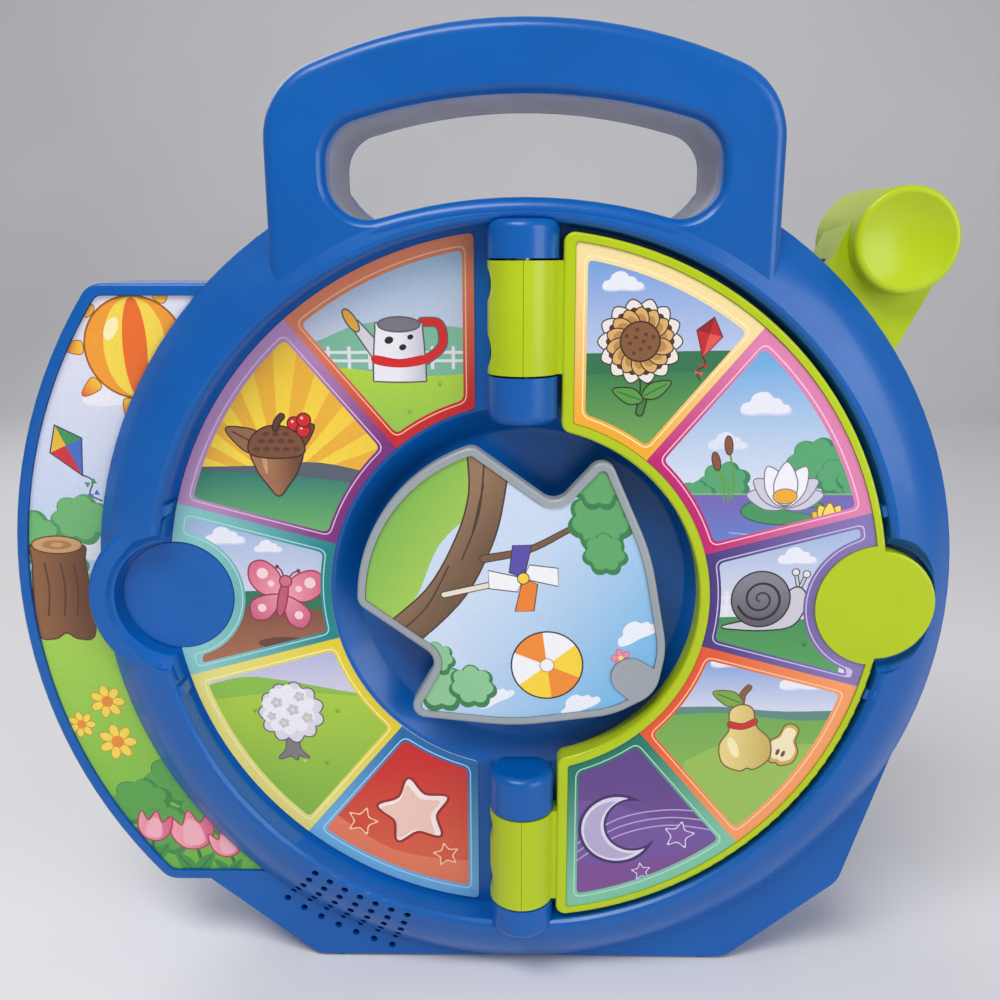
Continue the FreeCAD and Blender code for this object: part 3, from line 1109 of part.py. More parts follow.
def drive_parts():
    save("pointer_plate", pointer_plate())
    save("pointer_label", pointer_label())
    save("pointer_shaft", bar(0, 0, SHAFT_R, SHAFT_Y0, WHEEL_Y + WHEEL_T))
    save("shaft_bush", tube(0, 0, BUSH_R, SHAFT_R + RUN_GAP, BUSH_Y, SECTOR_Y - 0.6))
    save("drive_pinion", drive_pinion())
    radius = CLUTCH_R + CLUTCH_WIRE_R + 0.1
    save("clutch_spring", coil(0, 0, radius, CLUTCH_WIRE_R, 0.95, SLEEVE_Y + 0.3, PLATE_Y - 0.7))
    save("clutch_hub", tube(0, 0, CLUTCH_R, SHAFT_R, CLUTCH_Y, PLATE_Y - 0.4))
    save("contact_wheel", tube(0, 0, WHEEL_R, SHAFT_R, WHEEL_Y, WHEEL_Y + WHEEL_T))
    save("wiper_contacts", wiper_contacts())
    save("position_board", position_board())
    save("bearing_plate", bearing_plate())
    back = PLATE_Y + PLATE_T
    save("plate_screws", Part.makeCompound([screw(x, z, back, PLATE_Y - 8) for x, z in PLATE_SCREWS]))
    save("lever", lever())
    save("drive_sector", drive_sector())
    back = SECTOR_Y + GEAR_T
    save("sector_screws", Part.makeCompound([screw(x, z, back, HUB_PLATE_Y + 1.2) for x, z in SECTOR_SCREWS]))
    save("lever_pin", lever_pin())
    save("lever_spring", lever_spring())
    save("start_switch", start_switch())


def electric_parts():
    save("main_board", main_board())
    save("board_parts", board_parts())
    back = MAIN_BOARD_Y + BOARD_T
    heads = [screw(x, z, back, MAIN_BOARD_Y - 6) for x, z in BOARD_POSTS]
    back = POSITION_BOARD_Y + BOARD_T
    heads += [screw(x, z, back, PLATE_Y + 1.6) for x, z in POSITION_POSTS]
    heads += [screw(x, z, SEAT_Y + 1.6, SEAT_Y - 5) for x, z in CLAMP_SCREWS]
    places = [(SWITCH_X - SWITCH_POST, SWITCH_Z), (SWITCH_X + SWITCH_POST, SWITCH_Z)]
    heads += [screw(x, z, SWITCH_Y - 2.6, SWITCH_Y + 5) for x, z in places]
    save("board_screws", Part.makeCompound(heads))
    save("speaker_frame", speaker_frame())
    save("speaker_cone", speaker_cone())
    save("speaker_magnet", speaker_magnet())
    save("speaker_clamp", speaker_clamp())
    save("page_sensor", Part.makeCylinder(1.3, 14, V(MAGNET_X, FLOOR_BACK_Y + 1.3, MAGNET_Z - 7), UP))
    save("batteries", batteries())
    save("battery_contacts", battery_contacts())
    save("battery_door", battery_door())
    save("door_screw", screw(0, DOOR_SCREW_Z, BODY_BACK_Y - 1.4, DOOR_Y - 7, SCREW_R, SCREW_HEAD_R, 1.3))
    save("switch_body", switch_body())
    save("switch_knob", switch_knob())
    save("wires", wires())


if __name__ == "__main__":
    os.makedirs("parts", exist_ok=True)
    case_parts()
    hinge_parts()
    page_parts()
    drive_parts()
    electric_parts()
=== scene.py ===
import bpy
import json
from math import acos, asin, atan2, copysign, cos, degrees, dist, hypot, pi, radians, sin, sqrt
from mathutils import Matrix, Vector
from mathutils.geometry import delaunay_2d_cdt


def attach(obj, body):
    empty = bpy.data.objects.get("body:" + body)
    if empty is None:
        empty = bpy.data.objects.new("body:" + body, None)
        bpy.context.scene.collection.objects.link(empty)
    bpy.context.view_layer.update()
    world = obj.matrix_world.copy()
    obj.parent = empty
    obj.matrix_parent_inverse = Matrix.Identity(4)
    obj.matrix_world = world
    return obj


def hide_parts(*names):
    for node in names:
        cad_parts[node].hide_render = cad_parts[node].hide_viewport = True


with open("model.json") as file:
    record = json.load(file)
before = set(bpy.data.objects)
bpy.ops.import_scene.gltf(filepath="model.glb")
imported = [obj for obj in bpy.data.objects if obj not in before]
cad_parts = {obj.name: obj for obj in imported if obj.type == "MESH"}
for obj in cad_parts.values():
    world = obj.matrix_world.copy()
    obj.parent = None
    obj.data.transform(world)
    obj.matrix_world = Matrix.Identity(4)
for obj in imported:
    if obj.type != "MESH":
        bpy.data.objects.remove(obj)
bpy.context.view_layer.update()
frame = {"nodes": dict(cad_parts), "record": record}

NODES = frame["nodes"]

# The pictures are drawn about the pointer's hub, in millimetres: u to the right, v up.
HUB_X = 13.0
HUB_Y = -30.0
HUB_Z = 130.9


def place(u, y, v):
    """Point of the hub's frame, in millimetres, as a point of the part's frame, in metres."""
    return ((u + HUB_X) / 1000, (y + HUB_Y) / 1000, (v + HUB_Z) / 1000)


def rgb(code):
    """Linear colour of the screen colour 0xRRGGBB."""
    def linear(c):
        c /= 255
        return c / 12.92 if c <= 0.04045 else ((c + 0.055) / 1.055) ** 2.4
    return tuple(linear(code >> shift & 255) for shift in (16, 8, 0))


def mix(a, b, t):
    t = max(0.0, min(1.0, t))
    return tuple(x + (y - x) * t for x, y in zip(a, b))


# ---------------------------------------------------------------- materials
def new_material(name):
    material = bpy.data.materials.new(name)
    material.use_nodes = True
    nodes = material.node_tree.nodes
    return material, nodes, material.node_tree.links, nodes["Principled BSDF"]


def noise(nodes, links, scale, detail, rough=0.55):
    coords = nodes.new("ShaderNodeTexCoord")
    texture = nodes.new("ShaderNodeTexNoise")
    texture.inputs["Scale"].default_value = scale
    texture.inputs["Detail"].default_value = detail
    texture.inputs["Roughness"].default_value = rough
    links.new(coords.outputs["Object"], texture.inputs["Vector"])
    return texture


def ramp(nodes, links, source, stops):
    """Colour ramp: stops are (position, colour)."""
    node = nodes.new("ShaderNodeValToRGB")
    elements = node.color_ramp.elements
    while len(elements) < len(stops):
        elements.new(0.5)
    for element, (position, colour) in zip(elements, stops):
        element.position = position
        element.color = (*colour, 1.0)
    links.new(source, node.inputs["Fac"])
    return node


def span(nodes, links, source, low, high):
    node = nodes.new("ShaderNodeMapRange")
    node.inputs["To Min"].default_value = low
    node.inputs["To Max"].default_value = high
    node.inputs["From Min"].default_value = 0.3
    node.inputs["From Max"].default_value = 0.7
    links.new(source, node.inputs["Value"])
    return node


def bump(nodes, links, source, strength, distance, normal=None):
    node = nodes.new("ShaderNodeBump")
    node.inputs["Strength"].default_value = strength
    node.inputs["Distance"].default_value = distance
    links.new(source, node.inputs["Height"])
    if normal is not None:
        links.new(normal, node.inputs["Normal"])
    return node


def plastic(name, dark, light, rough, coat, grain=0.00002):
    """Moulded plastic: cloudy pigment, a faint orange-peel skin and handling haze."""
    material, nodes, links, shader = new_material(name)
    cloud = noise(nodes, links, 22.0, 4.0)
    tint = ramp(nodes, links, cloud.outputs["Fac"], [(0.30, dark), (0.72, light)])
    links.new(tint.outputs["Color"], shader.inputs["Base Color"])
    haze = noise(nodes, links, 60.0, 5.0, 0.7)
    links.new(span(nodes, links, haze.outputs["Fac"], *rough).outputs["Result"], shader.inputs["Roughness"])
    peel = noise(nodes, links, 900.0, 2.0)
    wave = noise(nodes, links, 30.0, 1.0)
    first = bump(nodes, links, peel.outputs["Fac"], 0.10, grain)
    second = bump(nodes, links, wave.outputs["Fac"], 0.08, 0.0004, first.outputs["Normal"])
    links.new(second.outputs["Normal"], shader.inputs["Normal"])
    shader.inputs["Coat Weight"].default_value = coat
    shader.inputs["Coat Roughness"].default_value = 0.12
    shader.inputs["IOR"].default_value = 1.49
    shader.inputs["Specular IOR Level"].default_value = 0.35
    return material


def metal(name, dark, light, rough=(0.25, 0.42)):
    material, nodes, links, shader = new_material(name)
    grain = noise(nodes, links, 300.0, 4.0)
    tint = ramp(nodes, links, grain.outputs["Fac"], [(0.3, dark), (0.7, light)])
    links.new(tint.outputs["Color"], shader.inputs["Base Color"])
    links.new(span(nodes, links, grain.outputs["Fac"], *rough).outputs["Result"], shader.inputs["Roughness"])
    shader.inputs["Metallic"].default_value = 1.0
    return material


def printed(name):
    """Printed film: ink colours from the mesh, under a slightly uneven clear film."""
    material, nodes, links, shader = new_material(name)
    ink = nodes.new("ShaderNodeVertexColor")
    ink.layer_name = "ink"
    grain = noise(nodes, links, 1400.0, 2.0)
    dots = ramp(nodes, links, grain.outputs["Fac"], [(0.35, (0.94, 0.94, 0.94)), (0.65, (1.0, 1.0, 1.0))])
    blend = nodes.new("ShaderNodeMix")
    blend.data_type = "RGBA"
    blend.blend_type = "MULTIPLY"
    blend.inputs["Factor"].default_value = 1.0
    links.new(ink.outputs["Color"], blend.inputs[6])
    links.new(dots.outputs["Color"], blend.inputs[7])
    links.new(blend.outputs[2], shader.inputs["Base Color"])
    film = noise(nodes, links, 40.0, 4.0)
    links.new(span(nodes, links, film.outputs["Fac"], 0.34, 0.46).outputs["Result"], shader.inputs["Roughness"])
    ripple = bump(nodes, links, film.outputs["Fac"], 0.10, 0.0003)
    links.new(ripple.outputs["Normal"], shader.inputs["Normal"])
    shader.inputs["Coat Weight"].default_value = 0.15
    shader.inputs["Coat Roughness"].default_value = 0.2
    return material


MATERIALS = {
    "case_blue": plastic("blue_plastic", rgb(0x0056A8), rgb(0x025FB4), (0.26, 0.38), 0.15),
    "lime_green": plastic("lime_plastic", rgb(0xB0C60A), rgb(0xBACF16), (0.28, 0.40), 0.15),
    "silver_plastic": plastic("silver_plastic", rgb(0x969DA4), rgb(0xA4ABB2), (0.36, 0.48), 0.1),
    "liner_grey": plastic("liner_plastic", rgb(0x8C8EA6), rgb(0x989AB0), (0.34, 0.46), 0.1),
    "white_plastic": plastic("natural_plastic", rgb(0xE2E0D6), rgb(0xECEAE2), (0.35, 0.5), 0.05),
    "black_plastic": plastic("black_plastic", rgb(0x161618), rgb(0x202022), (0.4, 0.55), 0.05),
    "board_green": plastic("board_mask", rgb(0x0E4A26), rgb(0x165C30), (0.3, 0.45), 0.3),
    "paper_cone": plastic("cone_paper", rgb(0x22201E), rgb(0x34302C), (0.75, 0.9), 0.0, 0.0001),
    "magnet_grey": metal("magnet_steel", rgb(0x606266), rgb(0x828488), (0.35, 0.5)),
    "steel": metal("plated_steel", rgb(0xB0B2B6), rgb(0xCED0D4), (0.22, 0.38)),
    "brass": metal("brass", rgb(0xC49C54), rgb(0xDCB66C)),
    "battery_label": plastic("cell_wrap", rgb(0x2A2E34), rgb(0x40444C), (0.28, 0.4), 0.3),
    "wire_red": plastic("wire_skin", rgb(0xB01816), rgb(0xC8241E), (0.4, 0.5), 0.1),
    "printed_sheet": printed("printed_film")}
PRINT = MATERIALS["printed_sheet"]
MATERIALS["silver_plastic"].node_tree.nodes["Principled BSDF"].inputs["Metallic"].default_value = 0.1

for row in frame["record"]["subparts"]:
    obj = NODES[row["node"]]
    if not obj.data.materials:
        obj.data.materials.append(None)
    for slot in obj.material_slots:
        slot.material = MATERIALS[row["material_slot"]]


# ---------------------------------------------------------------- drawing
def circle(cu, cv, r, n=36):
    return [(cu + r * cos(2 * pi * i / n), cv + r * sin(2 * pi * i / n)) for i in range(n)]


def ellipse(cu, cv, ru, rv, turn=0.0, n=36):
    c = cos(radians(turn))
    s = sin(radians(turn))
    points = []
    for i in range(n):
        a = 2 * pi * i / n
        x, y = ru * cos(a), rv * sin(a)
        points.append((cu + x * c - y * s, cv + x * s + y * c))
    return points


def smooth(points, steps=6, closed=True):
    """Catmull-Rom curve through points."""
    out = []
    n = len(points)
    last = n if closed else n - 1
    for i in range(last):
        p = [points[(i + k) % n] if closed else points[max(0, min(n - 1, i + k))] for k in (-1, 0, 1, 2)]
        for j in range(steps):
            t = j / steps
            w = (-t + 2 * t * t - t ** 3, 2 - 5 * t * t + 3 * t ** 3, t + 4 * t * t - 3 * t ** 3, t ** 3 - t * t)
            out.append(tuple(sum(w[k] * p[k][d] for k in range(4)) / 2 for d in (0, 1)))
    if not closed:
        out.append(points[-1])
    return out


def moved(points, du=0.0, dv=0.0, scale=1.0, turn=0.0):
    c = cos(radians(turn)) * scale
    s = sin(radians(turn)) * scale
    return [(du + u * c - v * s, dv + u * s + v * c) for u, v in points]


def area(points):
    return sum(a[0] * b[1] - b[0] * a[1] for a, b in zip(points, points[1:] + points[:1])) / 2


def ccw(points):
    return points if area(points) > 0 else points[::-1]


def grown(points, distance):
    """Outline moved outwards by distance."""
    points = ccw(points)
    n = len(points)
    out = []
    for i in range(n):
        a, b = points[i - 1], points[(i + 1) % n]
        du, dv = b[0] - a[0], b[1] - a[1]
        length = hypot(du, dv) or 1.0
        out.append((points[i][0] + dv / length * distance, points[i][1] - du / length * distance))
    return out


def stroke(points, width, taper=1.0, curved=True):
    """Band along a line, with round ends."""
    line = smooth(points, 6, False) if curved else list(points)
    n = len(line)
    left, right = [], []
    for i in range(n):
        a, b = line[max(0, i - 1)], line[min(n - 1, i + 1)]
        du, dv = b[0] - a[0], b[1] - a[1]
        length = hypot(du, dv) or 1.0
        half = width / 2 * (1 + (taper - 1) * i / (n - 1))
        left.append((line[i][0] - dv / length * half, line[i][1] + du / length * half))
        right.append((line[i][0] + dv / length * half, line[i][1] - du / length * half))
    ends = []
    for centre, start in ((line[-1], left[-1]), (line[0], right[0])):
        a0 = atan2(start[1] - centre[1], start[0] - centre[0])
        r = hypot(start[1] - centre[1], start[0] - centre[0])
        ends.append([(centre[0] + r * cos(a0 - pi * k / 6), centre[1] + r * sin(a0 - pi * k / 6))
                     for k in range(1, 6)])
    return left + ends[0] + right[::-1] + ends[1]


def star(r_out, r_in, turn=90.0):
    """Five-pointed star about (0, 0)."""
    out = []
    for i in range(10):
        a = radians(turn + 36 * i)
        r = r_out if i % 2 == 0 else r_in
        out.append((r * cos(a), r * sin(a)))
    return out


def scallops(cu, cv, r, bumps, depth, squash=1.0):
    """Cloud-like round outline."""
    out = []
    steps = 8 * bumps
    for i in range(steps):
        a = 2 * pi * i / steps
        rr = r + depth * abs(sin(bumps * a / 2))
        out.append((cu + rr * cos(a), cv + rr * squash * sin(a)))
    return out


BARE = (0.8, 0.8, 0.8)  # a sheet's face where nothing is printed
PAPER = (0.75, 0.75, 0.75)  # its back and edges


def rim_edges(faces):
    """Directed edges of faces that no neighbour shares, in their order."""
    edges = dict.fromkeys((a, b) for face in faces for a, b in zip(face, face[1:] + face[:1]) if a != b)
    return [(a, b) for a, b in edges if (b, a) not in edges]


class Print:
    """Flat printed sheet: shapes are laid one over another and cut into a single layer of faces."""

    def __init__(self, outline):
        self.outline = ccw(outline)
        self.shapes = []
        self.window = None

    def add(self, points, paint):
        """Adds a shape on top; only its part inside the current window is printed."""
        self.shapes.append((ccw(points), paint, self.window))
        return len(self.shapes) - 1

    def inked(self, points, paint, ink, width=0.45):
        """A shape with an outline."""
        self.add(grown(points, width), ink)
        self.add(points, paint)

    def build(self, name, front_y, back_y, mirrored=False):
        """Closed sheet between two depths, with the picture on the front_y face."""
        verts, faces = [], []
        for points in [self.outline] + [s[0] for s in self.shapes]:
            faces.append(list(range(len(verts), len(verts) + len(points))))
            verts += [Vector(p) for p in points]
        out_verts, _, out_faces, _, _, origins = delaunay_2d_cdt(verts, [], faces, 1, 1e-4)
        kept, paints = [], []
        for face, origin in zip(out_faces, origins):
            if 0 not in origin:
                continue
            inside = set(origin)
            choice = None
            for index in sorted(inside - {0}, reverse=True):
                window = self.shapes[index - 1][2]
                if window is None or window + 1 in inside:
                    choice = index - 1
                    break
            kept.append(face)
            paints.append(BARE if choice is None else self.shapes[choice][1])
        mesh = bpy.data.meshes.new(name)
        used = sorted({i for face in kept for i in face})
        slot = {v: i for i, v in enumerate(used)}
        count = len(used)
        flip = -1.0 if mirrored else 1.0
        coords = [place(flip * out_verts[v].x, front_y, out_verts[v].y) for v in used]
        coords += [place(flip * out_verts[v].x, back_y, out_verts[v].y) for v in used]
        polygons = [[slot[v] for v in face] for face in kept]
        back = [[slot[v] + count for v in reversed(face)] for face in kept]
        sides = [[slot[b], slot[a], slot[a] + count, slot[b] + count] for a, b in rim_edges(kept)]
        # counter-clockwise in (u, v) looks towards -Y; a mirrored sheet's picture looks towards +Y
        mesh.from_pydata(coords, [], polygons + back + sides)
        layer = mesh.color_attributes.new("ink", "FLOAT_COLOR", "CORNER")
        for i, polygon in enumerate(mesh.polygons):
            paint = paints[i] if i < len(kept) else PAPER
            for loop in polygon.loop_indices:
                if callable(paint):
                    vertex = out_verts[used[mesh.loops[loop].vertex_index]]
                    colour = paint(vertex.x, vertex.y)
                else:
                    colour = paint
                layer.data[loop].color = (*colour, 1.0)
        mesh.materials.append(PRINT)
        obj = bpy.data.objects.new(name, mesh)
        bpy.context.scene.collection.objects.link(obj)
        return obj


def face_outline(node, front):
    """Outline of a CAD sheet's face, in the hub's (u, v), read from its mesh; front is the -Y face."""
    mesh = NODES[node].data
    ys = [v.co.y for v in mesh.vertices]
    level = min(ys) if front else max(ys)
    keys = [(round(v.co.x * 1e6), round(v.co.z * 1e6)) if abs(v.co.y - level) < 2e-6 else None
            for v in mesh.vertices]
    faces = [[keys[i] for i in polygon.vertices] for polygon in mesh.polygons]
    nxt = dict(rim_edges([face for face in faces if None not in face]))
    start = next(iter(nxt))
    loop = [start]
    while nxt[loop[-1]] != start and len(loop) <= len(nxt):
        loop.append(nxt[loop[-1]])
    return [(x / 1000 - HUB_X, z / 1000 - HUB_Z) for x, z in loop]


def depths(node):
    """Front and back depth of a CAD sheet, in the hub's frame."""
    ys = [v.co.y for v in NODES[node].data.vertices]
    return min(ys) * 1000 - HUB_Y, max(ys) * 1000 - HUB_Y


# ---------------------------------------------------------------- picture sectors
BLANK = (0.5, 0.6, 0.8)  # a picture's window before anything is drawn in it


def path(sides, rounding):
    """Closed outline from sides (lists of points), with its corners rounded."""
    out = []
    n = len(sides)
    for i in range(n):
        side = sides[i]
        total = sum(dist(a, b) for a, b in zip(side, side[1:]))
        r = min(rounding, total * 0.3)
        trimmed = []
        run = 0.0
        for a, b in zip(side, side[1:]):
            step = dist(a, b)
            for cut in (r, total - r):
                if run <= cut < run + step:
                    t = (cut - run) / step
                    trimmed.append((cut, (a[0] + (b[0] - a[0]) * t, a[1] + (b[1] - a[1]) * t)))
            run += step
            if r < run < total - r:
                trimmed.append((run, b))
        trimmed = [p for _, p in sorted(trimmed, key=lambda item: item[0])]
        corner = side[-1]
        after = sides[(i + 1) % n]
        t = min(rounding, sum(dist(a, b) for a, b in zip(after, after[1:])) * 0.3)
        nxt = after[0]
        run = 0.0
        for a, b in zip(after, after[1:]):
            step = dist(a, b)
            if run <= t < run + step:
                f = (t - run) / step
                nxt = (a[0] + (b[0] - a[0]) * f, a[1] + (b[1] - a[1]) * f)
            run += step
        out += trimmed
        start = trimmed[-1]
        for k in range(1, 5):
            f = k / 5
            out.append(tuple((1 - f) ** 2 * start[d] + 2 * f * (1 - f) * corner[d] + f * f * nxt[d]
                             for d in (0, 1)))
    return out


def arc(r, a0, a1, cu=0.0, cv=0.0):
    steps = max(2, int(abs(a1 - a0) / 2.5))
    return [(cu + r * cos(radians(a0 + (a1 - a0) * i / steps)),
             cv + r * sin(radians(a0 + (a1 - a0) * i / steps))) for i in range(steps + 1)]


class Cell:
    """One picture's sector, on the right of the hinge; mirrored to the left with left=True."""

    def __init__(self, low, high, r_in, r_out, edge, tab_r, left):
        self.low, self.high = low, high
        self.r_in, self.r_out, self.edge, self.tab_r, self.left = r_in, r_out, edge, tab_r, left

    def outline(self, inset, outer=None, rounding=0.05):
        """The sector moved in by inset (outer: at the outside), as a closed outline."""
        outer = inset if outer is None else outer
        r0 = self.r_in + inset
        r1 = self.r_out - outer

        def angle(limit, r, towards):
            if abs(limit) >= 89:
                return copysign(degrees(acos((self.edge + inset) / r)), limit)
            return limit + towards * degrees(asin(inset / r))

        lo0, hi0 = angle(self.low, r0, 1), angle(self.high, r0, -1)
        lo1, hi1 = angle(self.low, r1, 1), angle(self.high, r1, -1)
        low_side = [self.at(r0, lo0), self.at(r1, lo1)]
        high_side = [self.at(r1, hi1), self.at(r0, hi0)]
        if self.tab_r is None:
            sides = [arc(r0, hi0, lo0), low_side, arc(r1, lo1, hi1), high_side]
        else:
            reach = self.tab_r + inset
            cu, cv = TAB_U, TAB_V
            d = hypot(cu, cv)
            along = (d * d + r1 * r1 - reach * reach) / (2 * d * r1)
            half = degrees(acos(along))
            mid = degrees(atan2(cv, cu))
            a0, a1 = mid - half, mid + half
            start, end = self.at(r1, a0), self.at(r1, a1)
            b0 = degrees(atan2(start[1] - cv, start[0] - cu))
            b1 = degrees(atan2(end[1] - cv, end[0] - cu))
            b0 = b0 - 360 if b0 > 0 else b0
            b1 = b1 - 360 if b1 > 0 else b1
            low_arc, high_arc = [arc(r1, lo1, a0)], [arc(r1, a1, hi1)]
            if a0 < lo1 + 1.5:
                low_side[1] = self.before_tab(low_side[0], low_side[1], cu, cv, reach + 1.0)
                b0 = degrees(atan2(low_side[1][1] - cv, low_side[1][0] - cu))
                low_arc = []
            if a1 > hi1 - 1.5:
                high_side[0] = self.before_tab(high_side[1], high_side[0], cu, cv, reach + 1.0)
                b1 = degrees(atan2(high_side[0][1] - cv, high_side[0][0] - cu)) - 360
                high_arc = []
            sides = [arc(r0, hi0, lo0), low_side, *low_arc, arc(reach, b0, b1, cu, cv), *high_arc, high_side]
        points = path(sides, rounding)
        return [(-u, v) for u, v in points] if self.left else points

    @staticmethod
    def before_tab(start, end, cu, cv, reach):
        """Last point of a straight side, from start towards end, that stays clear of the tab."""
        for k in range(101):
            point = tuple(start[d] + (end[d] - start[d]) * k / 100 for d in (0, 1))
            if dist(point, (cu, cv)) < reach:
                break
        return point

    @staticmethod
    def at(r, a):
        return (r * cos(radians(a)), r * sin(radians(a)))

    def border(self, sheet, pale, strong, line):
        """Prints the frame of the picture, then opens the window that the rest is clipped to."""
        r0, r1 = self.r_in, self.r_out

        def band(u, v):
            return mix(strong, pale, (hypot(u, v) - r0 - 4) / (r1 - r0 - 10))

        sheet.window = None
        sheet.add(self.outline(-0.4), band)
        sheet.add(self.outline(2.25, 2.9, 2.6), line)
        sheet.add(self.outline(2.6, 3.3, 2.3), band)
        sheet.window = sheet.add(self.outline(3.3, 4.3, 1.8), BLANK)


class Pen:
    """Draws on a sheet with a motif's own points, scaled by s, turned, and moved to (cu, cv)."""

    def __init__(self, sheet, cu, cv, s, turn=0.0):
        self.sheet, self.spot = sheet, (cu, cv, s, turn)

    def add(self, points, paint):
        self.sheet.add(moved(points, *self.spot), paint)

    def inked(self, points, paint, ink, width=0.45):
        self.sheet.inked(moved(points, *self.spot), paint, ink, width)


def fade(low_v, high_v, low, high):
    """Paint that runs from one colour at a lower v to another at a higher v."""
    return lambda u, v: mix(low, high, (v - low_v) / (high_v - low_v))


def field(sheet, cu, cv, paint, size=60):
    low_u, high_u, low_v, high_v = cu - size, cu + size, cv - size, cv + size
    sheet.add([(low_u, low_v), (high_u, low_v), (high_u, high_v), (low_u, high_v)], paint)


def hill(sheet, points, floor_v, paint):
    """Ground below a smooth line."""
    line = smooth(points, 5, False)
    sheet.add(line + [(points[-1][0], floor_v), (points[0][0], floor_v)], paint)


CLOUD = smooth([(-3.4, -0.6), (-3.2, 0.5), (-2.2, 0.9), (-1.7, 1.8), (-0.6, 2.3), (0.5, 2.2), (1.2, 1.5),
                (2.2, 1.3), (2.6, 0.6), (3.6, 0.3), (3.6, -0.6), (2.0, -0.9), (0.0, -0.8), (-2.0, -0.95)])


def cloud(sheet, cu, cv, s, colour=rgb(0xECEEFA), shade=rgb(0xCED6F0)):
    sheet.add(moved(CLOUD, cu + 0.2 * s, cv - 0.25 * s, s), shade)
    sheet.add(moved(CLOUD, cu, cv, s * 0.96), colour)


def bush(sheet, cu, cv, r, colour, shade):
    sheet.add(scallops(cu, cv, r, 7, r * 0.2, 0.85), shade)
    sheet.add(scallops(cu - r * 0.08, cv + r * 0.08, r * 0.86, 7, r * 0.18, 0.85), colour)


def grass(sheet, cu, cv, s, colour):
    for turn in (-38, -14, 10, 34):
        sheet.add(moved([(-0.22, 0), (0.22, 0), (0.05, 2.4)], cu, cv, s, turn), colour)


def leaf(sheet, cu, cv, length, turn, colour, vein, ink=None):
    pen = Pen(sheet, cu, cv, length, turn)
    shape = smooth([(0, 0), (0.3, 0.22), (0.62, 0.2), (1.0, 0.0), (0.62, -0.2), (0.3, -0.22)])
    if ink is None:
        pen.add(shape, colour)
    else:
        pen.inked(shape, colour, ink, 0.4)
    pen.add(stroke([(0.05, 0), (0.85, 0)], 0.04), vein)


INK = rgb(0x341E1A)


def watering_can(sheet, cu, cv, s):
    """White can with a red band and a golden rose."""
    pen = Pen(sheet, cu, cv, s)
    grey, red = rgb(0x5A5860), rgb(0xD61E22)
    handle = stroke(moved([(6.0, 6.2), (10.4, 5.6), (11.0, 0.2), (6.6, -3.6)], cu, cv, s), 1.9 * s)
    sheet.inked(handle, red, grey, 0.4)
    pen.inked([(-6.0, -4.0), (-12.2, 5.4), (-10.6, 6.6), (-5.4, 0.8)], rgb(0xD6D4E0), grey)
    pen.inked(ellipse(-12.2, 6.6, 1.1, 3.1, 33), rgb(0xE2AA3E), grey)
    body = [(-6.6, -7.4), (-5.9, 4.4), (-5.0, 5.8), (5.0, 5.8), (5.9, 4.4), (6.6, -7.4), (5.4, -8.8),
            (-5.4, -8.8)]
    pen.inked(smooth(body, 5), lambda u, v: mix(rgb(0xEEECF4), rgb(0xC4C2D2), (u - cu) / (7 * s)), grey)
    pen.add(smooth([(-6.5, -4.4), (0, -5.4), (6.5, -4.4), (6.6, -2.2), (0, -3.2), (-6.6, -2.2)], 5), red)
    pen.inked(ellipse(0, 5.6, 5.2, 1.7), rgb(0x787482), grey)
    for x, y, r in ((-2.6, 1.6, 1.15), (0.9, -0.2, 0.95), (2.9, 2.4, 0.8)):
        pen.add(ellipse(x, y, r, r * 0.8, 20), rgb(0x1E1C20))


def acorn(sheet, cu, cv, s):
    """Brown acorn with its cap, two leaves and red berries."""
    pen = Pen(sheet, cu, cv, s)
    leaf(sheet, cu - 2 * s, cv + 1 * s, 13 * s, 152, rgb(0x96684A), rgb(0x603A28), INK)
    leaf(sheet, cu + 2 * s, cv + 1 * s, 11 * s, 40, rgb(0x6C422E), rgb(0x46281E), INK)
    nut = smooth([(-6.2, 1.6), (-5.6, -4.2), (-2.6, -8.8), (0, -11.6), (2.6, -8.8), (5.6, -4.2), (6.2, 1.6)], 6)
    pen.inked(nut, lambda u, v: mix(rgb(0xA67452), rgb(0x70422C), (u - cu + 2) / (7 * s)), INK)
    pen.add(smooth([(-4.2, -0.4), (-3.6, -4.4), (-2.7, -5.4), (-2.9, -0.6)], 5), rgb(0xC89870))
    cap = [(-7.4, 0.6), (-6.6, 4.6), (-2.6, 7.4), (2.6, 7.4), (6.6, 4.6), (7.4, 0.6), (3.4, -0.8), (-3.4, -0.8)]
    pen.inked(smooth(cap, 6), rgb(0x7C4C32), INK)
    for row, count in ((1.4, 5), (3.6, 4), (5.6, 3)):
        for k in range(count):
            pen.add(ellipse((k - (count - 1) / 2) * 2.7, row, 0.95, 0.62), rgb(0x5C3624))
    pen.inked(stroke([(0, 7.2), (0.6, 9.0), (1.8, 10.4)], 1.3), rgb(0x5C3624), INK)
    for x, y in ((5.2, 8.4), (7.6, 6.6), (7.8, 9.4)):
        pen.inked(circle(x, y, 1.7, 20), rgb(0xD61C20), rgb(0x600C12))
        pen.add(circle(x - 0.5, y + 0.6, 0.4, 10), rgb(0xFABEBE))


